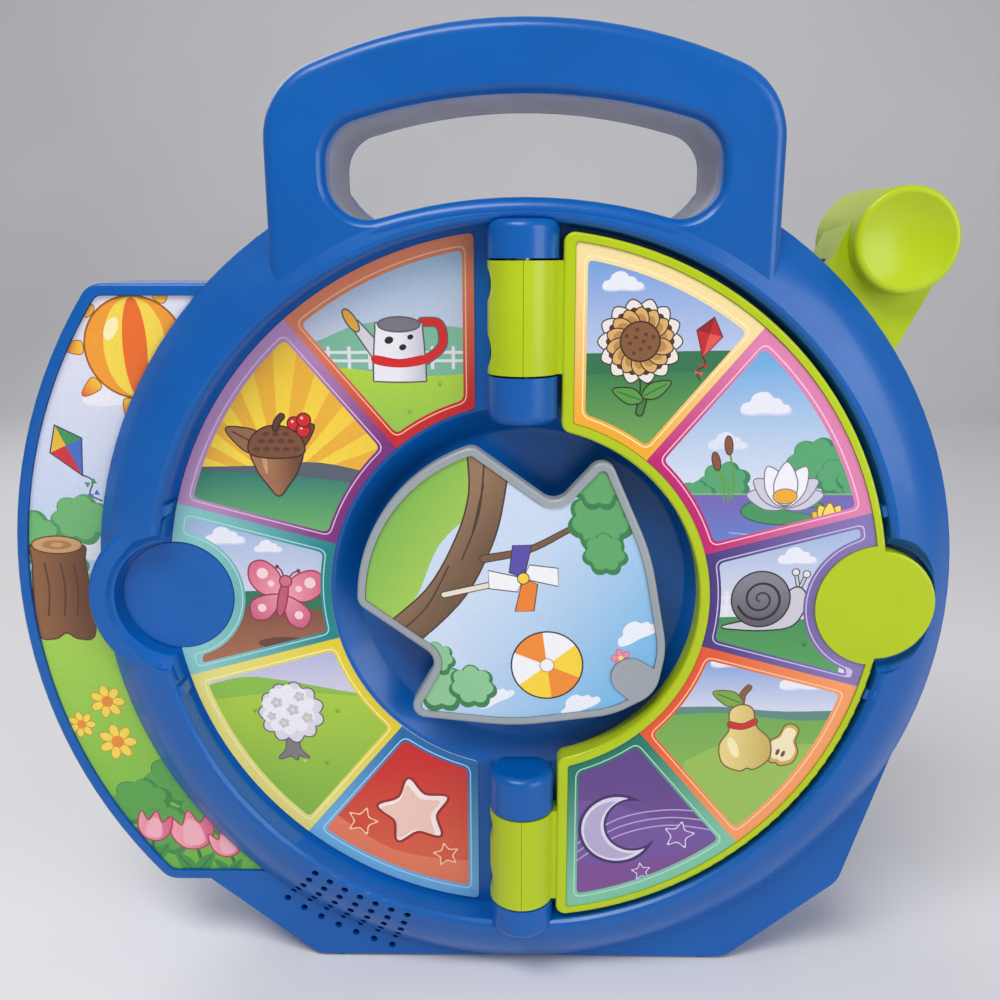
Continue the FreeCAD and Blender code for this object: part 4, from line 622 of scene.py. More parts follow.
def butterfly(sheet, cu, cv, s):
    """Pink butterfly."""
    pen = Pen(sheet, cu, cv, s, -12)
    ink = rgb(0x962846)
    for side in (-1, 1):
        upper = smooth([(0.6, 0.6), (2.4, 6.4), (7.4, 9.4), (11.0, 7.4), (10.4, 2.6), (6.0, -0.6)], 6)
        lower = smooth([(0.6, -0.2), (5.6, -1.4), (9.0, -4.4), (7.6, -8.8), (3.6, -8.2), (1.2, -4.0)], 6)
        for shape, near, far in ((upper, rgb(0xF4A4B2), rgb(0xDE6C8C)),
                                 (lower, rgb(0xF096AA), rgb(0xCE5C80))):
            pen.inked([(side * u, v) for u, v in shape],
                      lambda u, v, a=near, b=far: mix(a, b, dist((u, v), (cu, cv)) / (12 * s)), ink)
        for x, y, r in ((7.2, 5.6, 1.7), (4.2, 3.0, 1.0), (5.6, -5.2, 1.3)):
            pen.add(circle(side * x, y, r, 18), rgb(0xFCD6DC))
        pen.add(stroke([(side * 0.3, 4.4), (side * 1.6, 7.4), (side * 3.2, 8.6)], 0.5), ink)
        pen.add(circle(side * 3.2, 8.6, 0.65, 12), ink)
    pen.inked(ellipse(0, -1.0, 1.2, 5.6), rgb(0xC45876), ink)
    pen.inked(circle(0, 4.6, 1.6, 20), rgb(0xD66C88), ink)


def blossom_tree(sheet, cu, cv, s):
    """White blossom tree with a grey trunk."""
    pen = Pen(sheet, cu, cv, s)
    grey = rgb(0x605C62)
    trunk = smooth([(-1.6, 0), (-1.9, -6.4), (-4.2, -9.6), (-0.8, -8.8), (1.0, -10.0), (1.4, -8.6), (4.4, -9.4),
                    (1.8, -6.2), (1.8, 0)], 4)
    pen.inked(trunk, rgb(0x807A7E), grey)
    pen.inked(scallops(0, 4.6, 7.6, 11, 1.5), rgb(0xDEDAE8), grey)
    pen.add(scallops(-0.8, 5.4, 6.4, 10, 1.3), rgb(0xF0EEF6))
    for x, y, r in ((-4.0, 7.6, 1.2), (2.4, 9.4, 1.1), (4.4, 3.0, 1.2), (-2.2, 1.4, 1.1), (0.4, 5.4, 1.3),
                    (-5.6, 3.4, 0.9)):
        pen.add(scallops(x, y, r, 5, 0.5), rgb(0xCAC4D8))
        pen.add(circle(x, y, r * 0.45, 12), rgb(0xF4E296))


def big_star(sheet, cu, cv, s, body, light, ink):
    """Soft rounded star with a lit edge."""
    shape = smooth(star(10.5, 6.2), 5)
    Pen(sheet, cu, cv, s, 8).inked(shape, light, ink, 0.9)
    sheet.add(moved(shape, cu - 0.7 * s, cv - 0.6 * s, s * 0.86, 8), body)


def outline_star(sheet, cu, cv, r, width, colour, inside, turn):
    shape = smooth(star(r, r * 0.55, turn), 4)
    sheet.add(moved(shape, cu, cv), colour)
    sheet.add(moved(shape, cu, cv, 1 - 1.6 * width / r), inside)


def sunflower(sheet, cu, cv, s):
    """Big flower with cream tips and a brown eye."""
    pen = Pen(sheet, cu, cv, s)
    sheet.inked(stroke(moved([(0.6, -6), (1.4, -12), (0.4, -18)], cu, cv, s), 1.6 * s), rgb(0x3C843E), INK)
    for drop, turn in ((14, 28), (15, 160)):
        leaf(sheet, cu + s, cv - drop * s, 8 * s, turn, rgb(0x569E46), rgb(0x286832), INK)
    petal = smooth([(3.0, -1.6), (8.0, -2.3), (10.6, 0), (8.0, 2.3), (3.0, 1.6)], 5)
    petals = 14
    for ring, (scale, tip, body) in enumerate(((1.0, rgb(0xF0E8E2), rgb(0x542C28)),
                                                (0.80, rgb(0xDEB06A), rgb(0xBE8A4C)))):
        for k in range(petals):
            turn = 360 / petals * (k + 0.5 * ring)
            sheet.inked(moved(petal, cu, cv, s * scale, turn), tip, INK, 0.35)
            sheet.add(moved(petal, cu, cv, s * scale * 0.82, turn), body)
    pen.inked(circle(0, 0, 4.8, 32), rgb(0x865834), INK)
    for k in range(10):
        a = k * 2.4
        r = 0.55 * sqrt(k + 0.5) * 2.2
        pen.add(circle(r * cos(a), r * sin(a), 0.5, 10), rgb(0x5C3622))


def kite(sheet, cu, cv, s, turn, colours, ink):
    """Diamond kite in four colours, with a tail and two bows."""
    pen = Pen(sheet, cu, cv, s, turn)
    shape = [(0, 6), (4.2, 0.8), (0, -7), (-4.2, 0.8)]
    sheet.add(grown(moved(smooth(shape, 1), cu, cv, s * 1.07, turn), 0.1), ink)
    for i, colour in enumerate(colours):
        pen.add([shape[i], shape[(i + 1) % 4], (0, 0.8)], colour)
    sheet.add(stroke(moved([(0, -7), (1.6, -9.4), (-0.6, -12.0), (1.2, -14.6)], cu, cv, s, turn), 0.45), ink)
    for colour, (x, y) in zip(colours, ((0.9, -9.6), (0.2, -12.4))):
        pen.add([(x - 1.3, y + 0.8), (x - 1.3, y - 0.8), (x, y)], colour)
        pen.add([(x + 1.3, y + 0.8), (x + 1.3, y - 0.8), (x, y)], colour)


def water_lily(sheet, cu, cv, s, petal_colour, shade, eye, ink):
    pad = [(0, 0)] + arc(9.6, 24, 336)
    pad = [(cu + u * s, cv - 2.0 * s + v * s * 0.32) for u, v in pad]
    sheet.inked(pad, rgb(0x469660), rgb(0x246046), 0.35)
    petal = smooth([(-1.5, 0), (-2.5, 4.6), (0, 9.2), (2.5, 4.6), (1.5, 0)], 5)
    for turn in (-78, 78, -54, 54):
        sheet.inked(moved(petal, cu, cv, s * 0.95, turn), shade, ink, 0.35)
    for turn in (-28, 28, 0):
        sheet.inked(moved(petal, cu, cv, s, turn), petal_colour, ink, 0.35)
    sheet.inked(moved(ellipse(0, 1.4, 2.6, 1.6), cu, cv, s), eye, ink, 0.3)


def reeds(sheet, cu, cv, s):
    """Three blades; the two tall ones carry a brown head."""
    for base, top, head in (((0, 0), (-2.4, 9.6), 14), ((2.2, 0.4), (0.8, 14.0), 6),
                            ((1.2, 0), (-0.6, 6.5), None)):
        blade = [base, ((base[0] + top[0]) / 2 + 0.8, top[1] / 2), top]
        sheet.add(stroke(moved(blade, cu, cv, s), 0.55), rgb(0x60A03C))
        if head is not None:
            brown = ellipse(top[0] - 0.2, top[1] + 1.4, 0.95, 2.5, head)
            sheet.inked(moved(brown, cu, cv, s), rgb(0x8C5438), INK, 0.3)


def snail(sheet, cu, cv, s):
    """Grey snail with a spiral shell."""
    pen = Pen(sheet, cu, cv, s)
    ink, skin = rgb(0x221E26), rgb(0xCECCD6)
    body = smooth([(-12.5, -7.6), (-4.0, -5.6), (2.6, -5.2), (5.6, -2.0), (6.8, 3.4), (9.6, 4.6), (11.6, 2.0),
                   (11.0, -3.0), (7.6, -7.4), (0, -8.6), (-8.0, -8.4)], 6)
    for x, y in ((8.2, 9.4), (11.4, 8.8)):
        sheet.inked(stroke(moved([(9.4, 3.8), (x, y)], cu, cv, s), 0.7 * s), skin, ink, 0.3)
        pen.inked(circle(x, y, 0.95, 14), rgb(0xE8E6F0), ink, 0.3)
    pen.inked(body, skin, ink)
    pen.inked(circle(-1.6, 1.0, 8.4, 44),
              lambda u, v: mix(rgb(0x5C5A64), rgb(0x868490), (v - cv + 6 * s) / (14 * s)), ink)
    turns = []
    for k in range(46):
        a = radians(200 + k * 17)
        r = 6.9 * (1 - k / 50)
        turns.append((-1.6 + r * cos(a), 1.0 + r * sin(a)))
    pen.add(stroke(turns, 0.85, 0.5, False), ink)


def pear(sheet, cu, cv, s):
    """Cream-yellow pear with a leaf, a red band and a half beside it."""
    ink = rgb(0x785434)
    half = smooth([(0, 6.6), (2.2, 5.4), (2.6, 1.6), (4.9, -1.6), (4.6, -5.6), (1.6, -7.6), (0, -7.2),
                   (-1.6, -7.6), (-4.6, -5.6), (-4.9, -1.6), (-2.6, 1.6), (-2.2, 5.4)], 6)
    beside = (cu + 9.0 * s, cv - 2.2 * s)
    sheet.inked(moved(half, *beside, s * 0.86, -20), rgb(0xCEB054), ink)
    sheet.add(moved(half, *beside, s * 0.72, -20), rgb(0xF4E8C0))
    for side in (-1, 1):
        sheet.add(moved(ellipse(side * 0.8, -3.2, 0.5, 1.0), *beside, s, -20), rgb(0x6E462C))
    pen = Pen(sheet, cu - 2.4 * s, cv, s * 1.36, 8)
    pen.inked(stroke([(0, 6.4), (0.6, 8.8), (1.9, 10.2)], 0.9), rgb(0x845C3C), ink)
    leaf(sheet, cu - 3.2 * s, cv + 9.4 * s, 8.6 * s, 158, rgb(0x78AC42), rgb(0x467830), ink)
    pen.inked(half, lambda u, v: mix(rgb(0xE8D486), rgb(0xC8AA54), (u - cu + 6 * s) / (12 * s)), ink)
    pen.add(ellipse(-2.3, -2.4, 0.9, 2.4, 14), rgb(0xF6ECB8))
    band = smooth([(-2.7, 2.2), (0, 1.4), (2.7, 2.2), (2.6, 3.3), (0, 2.5), (-2.5, 3.3)], 4)
    pen.inked(band, rgb(0xCE2624), rgb(0x781414), 0.25)


def crescent(r_out, r_in, shift):
    """What a disc shows beside a second disc that is shifted over it."""
    x = (r_out ** 2 - r_in ** 2 + shift ** 2) / (2 * shift)
    y = sqrt(r_out ** 2 - x ** 2)
    a = degrees(atan2(y, x)) + 2
    b = degrees(atan2(y, x - shift)) + 2
    return arc(r_out, a, 360 - a) + arc(r_in, 360 - b, b, shift, 0)


def moon(sheet, cu, cv, s, body, light, ink):
    pen = Pen(sheet, cu, cv, s, 18)
    pen.add(crescent(10.9, 7.5, 4.6), ink)
    pen.add(crescent(10.0, 8.2, 4.6), light)
    sheet.add(moved(crescent(9.0, 8.7, 4.6), cu - 0.3 * s, cv - 0.3 * s, s, 18), body)


def fence(sheet, u0, u1, v, s, colour):
    """Two rails and their pointed posts."""
    for y in (v, v + 3.2 * s):
        sheet.add([(u0, y), (u1, y), (u1, y + 1.1 * s), (u0, y + 1.1 * s)], colour)
    x = u0 + 2 * s
    while x < u1:
        foot, top = v - 2.6 * s, v + 5.6 * s
        sheet.add([(x, foot), (x + 1.3 * s, foot), (x + 1.3 * s, top), (x + 0.65 * s, v + 6.4 * s), (x, top)],
                  colour)
        x += 8.0 * s


# the five sectors on each side, from the top down: their limits, and where an inner picture's motif
# stands, in degrees from the horizontal
LIMITS = [(50, 90), (15, 50), (-15, 15), (-50, -15), (-90, -50)]
MIDDLES = (66, 32.5, 0, -32.5, -66)
TAB_CELL = 2
TAB_U, TAB_V = 105.0, -1.0
# inner radius, outer radius, distance from the hinge, and clearance round the tab
FACE_SHEET = (58.2, 107.0, 13.9, 17.1)
PAGE_SHEET = (55.45, 104.55, 14.35, 18.65)


def cells(r_in, r_out, edge, tab_r, left):
    return [Cell(lo, hi, r_in, r_out, edge, tab_r if i == TAB_CELL else None, left)
            for i, (lo, hi) in enumerate(LIMITS)]


def left_pictures():
    sheet = Print(face_outline("left_label", True))
    top, second, third, fourth, fifth = cells(*FACE_SHEET, True)

    top.border(sheet, rgb(0xE28460), rgb(0xCC1822), rgb(0xFABE96))
    field(sheet, -44, 74, fade(70, 100, rgb(0xCED0E2), rgb(0xA6C4E2)))
    hill(sheet, [(-100, 70), (-66, 74), (-46, 81), (-28, 81), (-5, 78)], 20, rgb(0x7CBA9E))
    fence(sheet, -82, -10, 70.0, 0.75, rgb(0xE2E2EE))
    hill(sheet, [(-100, 68), (-60, 69), (-30, 66), (-5, 68)], 20, fade(52, 70, rgb(0x96C84A), rgb(0xB6D63C)))
    for u, v in ((-24, 63), (-55, 66), (-33, 55)):
        grass(sheet, u, v, 0.9, rgb(0x78B230))
    watering_can(sheet, -35.5, 74.5, 1.12)

    second.border(sheet, rgb(0xBE92C4), rgb(0x7E267C), rgb(0xE2C4E8))
    field(sheet, -72, 42, rgb(0xF0B434))
    for k in range(9):
        rim = [radians(a + 20 * k) for a in (20, 30)]
        sheet.add([(-72, 34)] + [(-72 + 60 * cos(a), 34 + 60 * sin(a)) for a in rim],
                  lambda u, v: mix(rgb(0xFAE246), rgb(0xF8CE3E), dist((u, v), (-72, 34)) / 34))
    hill(sheet, [(-110, 39), (-80, 39.5), (-60, 40.5), (-40, 36)], 0, rgb(0x56606C))
    hill(sheet, [(-110, 38.4), (-80, 37.4), (-60, 35.6), (-40, 33)], 0,
         fade(20, 38, rgb(0x68B268), rgb(0x207870)))
    acorn(sheet, -72.5, 43.0, 1.08)

    third.border(sheet, rgb(0x8CCECE), rgb(0x00868C), rgb(0xB4E2E2))
    field(sheet, -78, 0, fade(-4, 22, rgb(0xDEDCEE), rgb(0xA0BAE2)))
    cloud(sheet, -90, 17.0, 1.7)
    cloud(sheet, -77, 14.0, 1.2)
    hill(sheet, [(-100, -1), (-80, 0.5), (-58, -1)], -30, rgb(0x2E7458))
    hill(sheet, [(-100, -6), (-80, -4.5), (-58, -6)], -30, fade(-24, -5, rgb(0xB07052), rgb(0x7E4C3A)))
    sheet.add(ellipse(-73, -16.5, 8.5, 2.0), rgb(0x683E30))
    butterfly(sheet, -73.0, -1.0, 1.02)

    fourth.border(sheet, rgb(0xEEE482), rgb(0xE8D228), rgb(0xFAF4BE))
    field(sheet, -70, -42, fade(-34, -20, rgb(0xD8D4E8), rgb(0xB4BAE0)))
    hill(sheet, [(-105, -33), (-88, -28), (-74, -29), (-52, -33), (-34, -34)], -80, rgb(0x8CC046))
    hill(sheet, [(-105, -37), (-80, -33.5), (-60, -33.5), (-34, -36)], -80,
         fade(-66, -34, rgb(0x88BA3E), rgb(0xACCE3C)))
    for u, v in ((-84, -40), (-62, -58), (-58, -40)):
        grass(sheet, u, v, 0.9, rgb(0x68A02C))
    blossom_tree(sheet, -72.5, -45.0, 1.12)
    grass(sheet, -69, -57, 0.8, rgb(0xC4DC60))

    fifth.border(sheet, rgb(0x70B2E2), rgb(0x0068A8), rgb(0xB0DEFA))
    field(sheet, -38, -78, fade(-96, -56, rgb(0xE06442), rgb(0xCC1418)))
    hill(sheet, [(-80, -62), (-62, -74), (-42, -88), (-20, -92), (0, -92)], -130, rgb(0xE87A58))
    big_star(sheet, -34.5, -74.5, 1.12, rgb(0xF4CABC), rgb(0xFAECE8), rgb(0x9C1418))
    outline_star(sheet, -51.5, -78.0, 5.2, 0.55, rgb(0xFACEB0), rgb(0xD84630), 70)
    outline_star(sheet, -24.5, -90.0, 4.4, 0.55, rgb(0xFACEB0), rgb(0xDE543A), 100)

    obj = sheet.build("left_pictures", *depths("left_label"))
    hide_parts("left_label")
    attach(obj, "case")


def page_pictures():
    sheet = Print(face_outline("page_front_label", True))
    top, second, third, fourth, fifth = cells(*PAGE_SHEET, False)

    top.border(sheet, rgb(0xFAE2A0), rgb(0xFAB02C), rgb(0xFFF0C4))
    field(sheet, 44, 74, fade(66, 100, rgb(0xCED4EE), rgb(0x6E9EDE)))
    cloud(sheet, 27, 92, 1.6)
    hill(sheet, [(5, 73), (30, 73.5), (55, 74), (90, 74)], 20, rgb(0x2E744C))
    hill(sheet, [(5, 67), (40, 68), (60, 68.5), (90, 70)], 20, fade(48, 68, rgb(0x70A854), rgb(0x34804C)))
    red = rgb(0xC41E28)
    kite(sheet, 51.5, 78, 0.85, -14, [red, rgb(0xE8544E), red, rgb(0x961422)], rgb(0x600E18))
    sunflower(sheet, 32.5, 76.5, 1.1)

    second.border(sheet, rgb(0xE482B2), rgb(0xC41070), rgb(0xFCC8E2))
    field(sheet, 70, 42, fade(34, 72, rgb(0xDEE4F4), rgb(0x6CACE2)))
    cloud(sheet, 68, 58, 2.0)
    cloud(sheet, 58, 47.5, 1.6, rgb(0xE2E6F6), rgb(0xCCD8F0))
    for cu, cv, r in ((84, 42, 7.5), (91, 38, 6.0), (98, 37, 7.0), (58, 36, 6.5), (50, 32, 5.0)):
        bush(sheet, cu, cv, r, rgb(0x54A870), rgb(0x348860))
    hill(sheet, [(40, 33), (110, 33)], 10, fade(14, 33, rgb(0x5C88D6), rgb(0x7662B6)))
    sheet.add([(40, 32.7), (110, 32.7), (110, 33.2), (40, 33.2)], rgb(0x7EBE74))
    for v, u0, u1 in ((20, 60, 96), (16.5, 64, 92)):
        sheet.add(stroke([(u0, v + 1.4), ((u0 + u1) / 2, v), (u1, v + 0.6)], 0.35), rgb(0xA0BAE8))
    reeds(sheet, 58, 31, 1.05)
    for cu, cv, s, *colours in (
            (75.5, 30.5, 1.28, rgb(0xF4F2FA), rgb(0xD2D0E2), rgb(0xF4B028), rgb(0x787484)),
            (88.5, 24.0, 0.68, rgb(0xFAE060), rgb(0xF0C442), rgb(0xEC8C28), rgb(0x966424))):
        water_lily(sheet, cu, cv, s, *colours)

    third.border(sheet, rgb(0x8674B6), rgb(0x462E7E), rgb(0xCEC4EC))
    field(sheet, 72, 0, fade(-4, 20, rgb(0xE2E2F0), rgb(0xA8BEE4)))
    cloud(sheet, 80, 13.5, 1.6)
    fence(sheet, 58, 71, -2.0, 0.9, rgb(0xE8E8F0))
    hill(sheet, [(50, -5), (70, -4.5), (95, -6)], -30, fade(-22, -5, rgb(0x54A45A), rgb(0x409052)))
    grass(sheet, 84, -14, 0.9, rgb(0x2C763E))
    snail(sheet, 72.0, 0.0, 1.0)

    fourth.border(sheet, rgb(0xF89E62), rgb(0xE85424), rgb(0xFFCEA6))
    field(sheet, 72, -42, fade(-36, -18, rgb(0xDCDEF0), rgb(0x7CA0DC)))
    cloud(sheet, 62, -19, 1.6)
    cloud(sheet, 84, -26, 1.9)
    hill(sheet, [(40, -34), (60, -33.5), (80, -35), (110, -34)], -80, rgb(0x5C8C80))
    hill(sheet, [(40, -37), (60, -35.6), (85, -38), (110, -36.5)], -80,
         fade(-60, -36, rgb(0x8CB854), rgb(0x70AC4E)))
    hill(sheet, [(50, -52), (66, -44.5), (84, -46), (110, -44)], -80, rgb(0x98C054))
    pear(sheet, 70.5, -43.0, 1.12)

    fifth.border(sheet, rgb(0x7EC4A6), rgb(0x007660), rgb(0xB2E2CE))
    field(sheet, 38, -78, fade(-98, -56, rgb(0x8056A0), rgb(0x5C3E88)))
    hill(sheet, [(10, -66), (26, -66), (44, -72), (64, -76)], -130, rgb(0x70509C))
    hill(sheet, [(10, -88), (30, -88), (50, -84), (70, -76)], -130, rgb(0x7A4892))
    for dv in (0, 3.0, 6.0):
        line = [(16, -88 + dv), (30, -78 + dv), (46, -74 + dv * 0.9), (62, -76 + dv)]
        sheet.add(stroke(line, 0.4), rgb(0xBEACDE))
    moon(sheet, 30.0, -75.5, 1.12, rgb(0xB6ACD2), rgb(0xE2DAEC), rgb(0x3C2468))
    outline_star(sheet, 49.5, -77.5, 5.0, 0.45, rgb(0xE2D6F4), rgb(0x7A54A0), 80)
    outline_star(sheet, 38.0, -90.5, 3.2, 0.4, rgb(0xE2D6F4), rgb(0x7E529C), 100)

    obj = sheet.build("page_front_pictures", *depths("page_front_label"))
    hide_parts("page_front_label")
    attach(obj, "page")


def wing_picture():
    sheet = Print(face_outline("wing_label", True))
    sheet.add([(-170, -120), (-60, -120), (-60, 110), (-170, 110)], fade(20, 88, rgb(0xC8D6F0), rgb(0xE8E6F4)))
    sheet.window = 0
    cloud(sheet, -118, 60, 3.6, rgb(0xF0F0FA), rgb(0xDCE0F4))
    cloud(sheet, -136, 12, 3.2, rgb(0xECF0FA), rgb(0xCEDAF2))
    # striped balloon at the top
    cu, cv = -113.0, 74.0
    ink = rgb(0xAA5C14)
    sheet.inked(circle(cu, cv, 14.5, 48), rgb(0xFACE3C), ink, 0.6)
    for half, colour in ((14.5, rgb(0xF6A032)), (9.2, rgb(0xFCE260)), (3.4, rgb(0xF07828)),
                         (9.2, rgb(0xFCDC50)), (3.6, rgb(0xF07028))):
        sheet.add(ellipse(cu, cv, half, 14.5), colour)
    sheet.add(ellipse(cu - 6.6, cv + 5.4, 1.8, 3.6, -28), rgb(0xFFF4BE))
    flame = smooth([(15.8, -1.8), (20.0, -1.2), (21.8, 0), (20.0, 1.2), (15.8, 1.8)], 4)
    for k in range(9):
        sheet.inked(moved(flame, cu, cv, 1.0, 20 + 40 * k),
                    lambda u, v: mix(rgb(0xFACE46), rgb(0xEC6224), (dist((u, v), (cu, cv)) - 15) / 7), ink, 0.3)
    colours = [rgb(0x40965A), rgb(0x466EC4), rgb(0xCE303C), rgb(0xE8BE3C)]
    kite(sheet, -136.0, 44.0, 1.25, 24, colours, rgb(0x2C3C60))
    for u, v, r in ((-150, 16, 9), (-142, 5, 8), (-134, 22, 8), (-128, -2, 8), (-152, -4, 9)):
        bush(sheet, u, v, r, rgb(0x70B874), rgb(0x4C9A62))
    hill(sheet, [(-172, -8), (-150, -5), (-132, -6), (-110, -12), (-84, -16), (-55, -18)], -120,
         fade(-100, -10, rgb(0x68B23E), rgb(0xA8D64E)))
    # brown stump with rings, mid-left
    bark = rgb(0x5C3824)
    wood = rgb(0xCEA06E)
    stump = [(-9, -16), (-8, 6), (-7.4, 12), (7.4, 12), (8, 6), (9, -16), (4, -18.5), (0, -16.5), (-4, -18.5)]
    sheet.inked(moved(smooth(stump, 5), -142.5, 2.0),
                lambda u, v: mix(rgb(0x92603E), rgb(0x6E442C), (u + 150) / 15), bark, 0.5)
    sheet.inked(ellipse(-142.5, 14.0, 7.6, 2.6), wood, bark, 0.4)
    sheet.add(ellipse(-142.5, 14.0, 4.6, 1.5), rgb(0xB07E52))
    sheet.add(ellipse(-142.5, 14.0, 2.0, 0.7), wood)
    for x in (-147, -142, -138):
        sheet.add(stroke([(x, 8), (x + 0.6, 0), (x - 0.5, -9)], 0.6), bark)
    for u, v, s in ((-132, -38, 1.0), (-130, -52, 1.1), (-141, -46, 0.8)):
        for k in range(7):
            petal = moved(ellipse(3.4, 0, 2.1, 1.3), u, v, s, 360 / 7 * k)
            sheet.inked(petal, rgb(0xFADA54), rgb(0xC48224), 0.25)
        sheet.add(circle(u, v, 1.9 * s, 20), rgb(0xEC8C32))
    for u, v, r in ((-112, -66, 9), (-124, -74, 9), (-100, -76, 10), (-116, -84, 9)):
        bush(sheet, u, v, r, rgb(0x58A44A), rgb(0x3E8A42))
    # pink tulips at the bottom
    rose = rgb(0xAA3454)
    cup = smooth([(-5.2, 6.4), (-5.4, 0.6), (-2.4, -3.2), (2.4, -3.2), (5.4, 0.6), (5.2, 6.4), (2.4, 3.4),
                  (0, 7.4), (-2.4, 3.4)], 4)
    heart = smooth([(-2.2, 3.0), (-2.8, -1.6), (0, -2.8), (2.8, -1.6), (2.2, 3.0), (0, 5.2)], 4)
    for u, v, s, turn in ((-108, -86, 1.25, 8), (-121, -84, 0.95, -12), (-97, -90, 0.9, 14)):
        pen = Pen(sheet, u, v, s, turn)
        sheet.add(stroke(moved([(0, -1), (0.6, -9), (0, -16)], u, v, s, turn), 1.2), rgb(0x2C7838))
        for turn_leaf in (50, 130):
            leaf(sheet, u, v - 11 * s, 8 * s, turn_leaf, rgb(0x409446), rgb(0x286832))
        pen.inked(cup, lambda a, b, c=u: mix(rgb(0xF8A0B2), rgb(0xDE688A), (a - c + 5) / 10), rose, 0.5)
        pen.add(heart, rgb(0xF6B2C0))
    obj = sheet.build("wing_picture", *depths("wing_label"))
    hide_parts("wing_label")
    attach(obj, "case")


def pointer_picture():
    """Drawn with the tip along +u, then turned to the pointer's place."""
    turn = -36.0
    sheet = Print(face_outline("pointer_label", True))
    pen = Pen(sheet, 0.0, 0.0, 1.0, turn)
    tip = (cos(radians(turn)), sin(radians(turn)))
    white, yellow, orange = rgb(0xF5F5FA), rgb(0xFAD638), rgb(0xF48C2C)

    def shaded(back, front, offset, length):
        """Paint that runs from one colour to another along the pointer."""
        return lambda u, v: mix(back, front, (u * tip[0] + v * tip[1] + offset) / length)

    sheet.add(circle(0, 0, 60), shaded(rgb(0xCEDEF4), rgb(0x78BAE8), 10, 50))
    sheet.window = 0
    for du, dv, s in ((34, -17, 1.8), (34, 12, 1.9), (12, -30, 1.6)):
        pen.add(moved(CLOUD, du, dv, s, 62), rgb(0xEEF2FC))
    # meadow at the tail, brown branch, leaves at the barbs
    tail = [(-60, -40), (-60, 40), (-30, 40), (-27, 20), (-30, 0), (-26, -20), (-30, -40)]
    pen.add(smooth(tail, 5), shaded(rgb(0x78B64A), rgb(0xA4CE54), 50, 24))
    bark = rgb(0x463022)
    branch = smooth([(-31, 34), (-22, 20), (-17, 6), (-15, -12), (-20, -34), (-29, -36), (-25, -14), (-27, 4),
                     (-32, 18), (-42, 32)], 5)
    pen.inked(branch, shaded(rgb(0x967658), rgb(0x6E523A), 32, 14), bark, 0.5)
    for line in ([(-34, 28), (-26, 14), (-22, 0)], [(-24, -4), (-22, -18), (-24, -30)], [(-30, 22), (-24, 8)]):
        pen.add(stroke(line, 0.5), bark)
    pen.inked(stroke([(-17, 4), (-8, 14), (-2, 26), (2, 34)], 2.0, 0.4), rgb(0x785A40), bark, 0.35)
    for cu, cv, r in ((4, 33, 8.5), (-3, 41, 6.5), (11, 26, 6.0), (-4, -37, 7.5),
                      (4, -31, 6.5), (-10, -30, 5.0)):
        light = rgb(0x60AA68) if cv > 0 else rgb(0x8CC896)
        pen.add(scallops(cu, cv, r, 7, r * 0.2, 0.9), rgb(0x32824C))
        pen.add(scallops(cu - 0.5, cv + 0.5, r * 0.84, 7, r * 0.18, 0.9), light)
    # beach ball and a paper windmill in the middle
    ball = (18.0, -12.0)
    pen.inked(circle(*ball, 10.5, 44), yellow, INK, 0.5)
    for k, colour in enumerate((yellow, white, orange, white, yellow, orange)):
        pen.add([ball] + arc(10.5, 60 * k + 14, 60 * k + 74, *ball), colour)
    pen.inked(circle(*ball, 2.0, 20), white, rgb(0xAA7828), 0.25)
    mill = (-4.0, 6.0)
    pen.inked(stroke([(-6, 4), (-13, -4), (-20, -12)], 1.5), rgb(0xECE2D2), bark, 0.3)
    sail = [(0, 0), (9.6, 0.6), (8.0, 5.2), (0.6, 4.0)]
    for k, colour in enumerate((white, rgb(0x564AAA), white, rgb(0xF28228))):
        pen.inked(moved(sail, *mill, 1.1, 90 * k + 20), colour, rgb(0x3C2C3C), 0.35)
    pen.inked(circle(*mill, 1.6, 18), yellow, INK, 0.3)
    # a small pink blossom near the tip
    for k in range(5):
        petal = moved(ellipse(1.7, 0, 1.2, 0.9), 34.5, 3.0, 1.0, 72 * k)
        pen.inked(petal, rgb(0xEE8CA6), rgb(0xBE466E), 0.2)
    pen.add(circle(34.5, 3.0, 0.8, 12), rgb(0xFAE282))
    obj = sheet.build("pointer_picture", *depths("pointer_label"))
    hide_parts("pointer_label")
    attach(obj, "pointer")


# the inner pictures' colours: pale and strong border, line, background, and ground, for each motif
SCHEMES = [
    (rgb(0xFAE2A0), rgb(0xE27828), rgb(0xFFF0C4), rgb(0xC6DEF4), rgb(0x76B860)),
    (rgb(0xC4AADC), rgb(0x6E3C96), rgb(0xE8D8F4), rgb(0xFAE8AA), rgb(0xECBE60)),
    (rgb(0x96D4C8), rgb(0x008078), rgb(0xC4ECE2), rgb(0xD6E2F4), rgb(0x609CD6)),
    (rgb(0xFAB496), rgb(0xCE3228), rgb(0xFFD8C4), rgb(0xE2ECC8), rgb(0x8CBE5A)),
    (rgb(0x82BEE8), rgb(0x0062A8), rgb(0xBEE2FA), rgb(0x785CA8), rgb(0x5C4290))]


